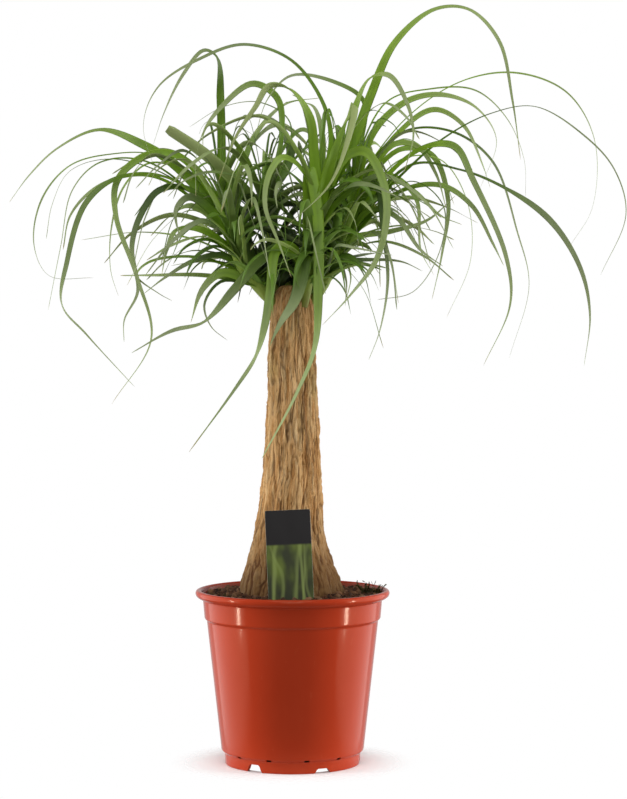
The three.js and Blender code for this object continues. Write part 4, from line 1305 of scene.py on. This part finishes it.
def moss_line(dice, middle, spread, longest):
    base = np.array([middle[0] + dice.between(-1, 1) * spread, middle[1] + dice.between(-1, 1) * spread, 0])
    base[2] = soil_height(base[0], base[1]) - 1
    turn, step, points = dice.between(0, 2 * math.pi), dice.between(0.4, 1) * longest / MOSS_BENDS, [base]
    across = np.array([-math.sin(turn), math.cos(turn), 0.0])
    for _ in range(MOSS_BENDS):
        turn += dice.between(-1.4, 1.4)
        out, up = dice.between(0.2, 0.9), dice.between(0.05, 1)
        points.append(points[-1] + np.array([math.cos(turn) * out, math.sin(turn) * out, up]) * step)
    wide, twists = dice.between(1.6, 3), (-60, 90)
    leaf = {"wide": wide, "twists": twists, "points": points, "across": across, "height": 0.5}
    return guide_line(leaf, dice.draw(), 0.6)


moss_dice = Dice(MOSS_SEED)
moss_lines = [moss_line(moss_dice, *tuft) for *tuft, stalks in MOSS_TUFTS for _ in range(stalks)]
moss_inputs = {**LEAF_SIZES, "Section Points": 4, "Leaf": soil_material("dry_moss", "443a1a", "8a8438")}
place(grow("moss", guide_mesh("moss", moss_lines), blades, moss_inputs), "soil")

# %% [markdown]
# ## Plant label
# The label is a printed plastic card on a stake. Its lower part carries a soft picture of green blades,
# its header is plain charcoal. The print is drawn by sums on the card's own places: each blade is a band
# around a bent line, and its soft edge makes it look out of focus.

# %% The card
LABEL_WIDTH = 43.5
LABEL_HEIGHT = 92
LABEL_THICKNESS = 0.9
STAKE_WIDTH = 12
STAKE_LENGTH = 52
CARD_CORNER = 1.2


def card_outline():
    half, stake, top, corner = LABEL_WIDTH / 2, STAKE_WIDTH / 2, LABEL_HEIGHT, CARD_CORNER
    right = [(stake - 3, -STAKE_LENGTH), (stake, -STAKE_LENGTH + 4), (stake, -12), (half, 0)]
    arc = [math.radians(angle) for angle in (0, 22.5, 45, 67.5, 90)]
    right += [(half - corner + corner * math.cos(a), top - corner + corner * math.sin(a)) for a in arc]
    return mirrored(right)


card = prism(card_outline(), -LABEL_THICKNESS / 2, LABEL_THICKNESS / 2, 0)
label = new_object("printed_label", joined_mesh("printed_label", [card]))
bevel = label.modifiers.new("bevel", "BEVEL")
bevel.width, bevel.segments = 0.2 * MM, 2
label.data = plain_mesh(label)
label.modifiers.clear()
flat_places = np.array([corner.co for corner in label.data.vertices]) / MM
aside, back, up = flat_places.T
spots = np.stack([aside / LABEL_WIDTH + 0.5, up / LABEL_HEIGHT, -back / LABEL_THICKNESS], axis=1)
print_place = label.data.attributes.new("print_place", "FLOAT_VECTOR", "POINT")
print_place.data.foreach_set("vector", spots.astype(np.float32).ravel())
print("points of the card:", len(flat_places))

# %% The print
BLADES = [  # side at the foot, lean, bend, half width and brightness of each blade in the picture
    (0.14, -0.15, 0.5, 0.055, 0.85), (0.3, 0.25, -0.9, 0.035, 0.5), (0.55, 0.0, 0.35, 0.05, 0.6),
    (0.8, -0.1, -0.15, 0.05, 0.8), (0.72, 0.5, -0.6, 0.03, 0.5), (0.97, -0.6, 0.7, 0.04, 0.4),
]
PICTURE_TOP = 0.62  # share of the card's height


def print_material():
    material, board = new_material("label_print", {"Specular IOR Level": 0.25})
    spot = board.attribute("print_place", "Vector")
    split = board.add("ShaderNodeSeparateXYZ", None, {"Vector": spot})
    u, v, side = split.out("X"), split.out("Y"), split.out("Z")
    blur = board.noise(spot, 3.2, 2)
    light = board.step(blur + v * 0.3, 0.4, 0.85)
    picture = board.mix(light, "282e12", "5d6c24")
    sway = (board.noise(spot, 2.1, 1) - 0.5) * 0.3
    for foot, lean, bend, half, bright in BLADES:
        middle = foot + lean * v + bend * v * v
        band = 1 - board.step(abs(u - middle + sway), half * 0.1, half * 1.5)
        picture = board.mix(band * bright * (1 - 0.9 * v), picture, "8a9a52")
    header = board.step(v, PICTURE_TOP, PICTURE_TOP + 0.03)
    front = board.mix(header, picture, "0e090a")
    stake = board.mix(1 - board.step(v, -0.03, -0.01), front, "d9dccb")
    edge = 1 - board.step(abs(side), 0.36, 0.48)
    back = 1 - board.step(side, -0.4, 0.0)
    card = board.mix(board.maths("MAXIMUM", edge, back), stake, "c9cdbd")
    finish_surface(board, card, 0.38 + 0.1 * blur, blur, 0.03, 0.0005)
    return material


# %% Standing the label in the soil
LEAN_LEFT = 2.5  # degrees
LEAN_BACK = 11  # degrees
LABEL_PLACE = (-1, -61, SOIL_TOP - 4)  # mm, the middle of the card's lower edge


def stood(point):
    x, y, z = point
    x, z = turned(x, z, LEAN_LEFT)
    y, z = turned(y, z, -LEAN_BACK)
    return [at + shift for at, shift in zip((x, y, z), LABEL_PLACE)]


standing = [tuple(c * MM for c in stood(point)) for point in flat_places]
label.data.vertices.foreach_set("co", np.ravel(standing))
label.data.materials.append(print_material())
label.data.update()
place(label, "label", "plant_label")

# %% [markdown]
# ## Studio
# The plant stands on a plain pale floor in soft light. Two large softboxes light it from the sides and a
# little from behind, so that the pot is bright at its sides and dark in the middle. Two narrow ones
# stand low beside the pot and draw the upright highlights on its band. A wide light behind the plant
# keeps the pot's outline bright, where the glossy plastic mirrors what is behind it. The floor fades
# into the white backdrop close to the pot, and it is left out under the pot, so that light shines
# through the notches.

# %% Floor
FLOOR_HALF = 30  # m
FLOOR_BEGINS = (0.058, 0.06)  # m from the pot's axis
FLOOR_FADES = (0.066, 0.125)  # m from the pot's axis
floor_mesh = bpy.data.meshes.new("floor")
floor_corners = [(FLOOR_HALF * x, FLOOR_HALF * y, 0) for x, y in ((-1, -1), (1, -1), (1, 1), (-1, 1))]
floor_mesh.from_pydata(floor_corners, [], [(0, 1, 2, 3)])
floor = new_object("floor", floor_mesh)
floor_paint, floor_board = new_material("pale_floor", {"Roughness": 0.9, "Specular IOR Level": 0.2})
floor_board.shader.inputs["Base Color"].default_value = (0.9, 0.9, 0.9, 1)
from_axis = floor_board.vectors("LENGTH", floor_board.object_place())
begun = floor_board.step(from_axis, *FLOOR_BEGINS)
kept = 1 - floor_board.step(from_axis, *FLOOR_FADES)
floor_board.feed(floor_board.shader.inputs["Alpha"], begun * kept)
floor_mesh.materials.append(floor_paint)
floor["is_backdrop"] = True


# %% Light
def softbox(name, place_at, aim, width, height, power):
    """An area light in metres and watts, which shines from its place towards an aim and isn't seen itself."""
    light = bpy.data.lights.new(name, "AREA")
    light.shape, light.size, light.size_y, light.energy = "RECTANGLE", width, height, power
    lamp = bpy.data.objects.new(name, light)
    lamp.location = place_at
    lamp.rotation_euler = (Vector(aim) - Vector(place_at)).to_track_quat("-Z", "Y").to_euler()
    lamp.visible_camera = False
    bpy.context.scene.collection.objects.link(lamp)


for side in (-1, 1):
    softbox("side_softbox", (1.4 * side, 0.45, 0.55), (0, 0.45, 0.55), 2.2, 2.2, 28)
    softbox("low_strip", (0.386 * side, -0.153, 0.105), (0.047 * side, -0.062, 0.105), 0.018, 0.19, 0.85)
softbox("backdrop_light", (0, 2.4, 0.2), (0, 0, 0.2), 4.4, 2.8, 18)
softbox("top_softbox", (0, -0.9, 2.3), (0, 0, 0.4), 1.4, 1.4, 20)
softbox("front_fill", (0, -2.6, 1.6), (0, 0, 0.5), 1.2, 1.2, 17)
WORLD_LIGHT = 0.12  # of the white that the camera sees behind the plant
world = bpy.data.worlds.new("studio")
world.use_nodes = True
studio = Board(world.node_tree)
backdrop = world.node_tree.nodes["Background"]
seen = studio.add("ShaderNodeLightPath", out="Is Camera Ray")
backdrop.inputs["Color"].default_value = (1, 1, 1, 1)
studio.feed(backdrop.inputs["Strength"], seen * (1 - WORLD_LIGHT) + WORLD_LIGHT)
bpy.context.scene.world = world
bpy.context.scene.view_settings.view_transform = "Standard"
print("lights:", len(bpy.data.lights))

# %% [markdown]
# ## Camera
# The photograph's camera stands about as high as the trunk's top, two and a half metres in front. Its
# long lens keeps the pot's rim nearly flat. The camera looks slightly down and aside, which places the
# plant in the frame as the photograph does.

# %% Camera
CAMERA_DISTANCE = 2.446  # m in front of the trunk's axis
CAMERA_HEIGHT = 0.444  # m over the floor
SENSOR = 36  # mm along the frame's long side
FOCAL_PIXELS = 2509
LONG_SIDE = 799  # pixels
AXIS_OFFSET = 21  # pixels from the trunk's axis to the middle of the frame
HORIZON_OFFSET = 90.5  # pixels from the camera's horizon down to the middle of the frame
camera_data = bpy.data.cameras.new("camera")
camera_data.sensor_width = SENSOR
camera_data.lens = SENSOR * FOCAL_PIXELS / LONG_SIDE
camera = bpy.data.objects.new("camera", camera_data)
camera.location = (0, -CAMERA_DISTANCE, CAMERA_HEIGHT)
direction = Vector((AXIS_OFFSET, FOCAL_PIXELS, -HORIZON_OFFSET))
camera.rotation_euler = direction.to_track_quat("-Z", "Y").to_euler()
bpy.context.scene.collection.objects.link(camera)
bpy.context.scene.camera = camera
print("lens in mm:", round(camera_data.lens, 1))

# %% Sizes of the CAD model and of the dressed scene, and the end
visual_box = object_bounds()
sizes = {"cad": [list(corner) for corner in cad_box], "visual": [list(corner) for corner in visual_box]}
print("visual box in mm:", [[round(c / MM, 1) for c in corner] for corner in visual_box])
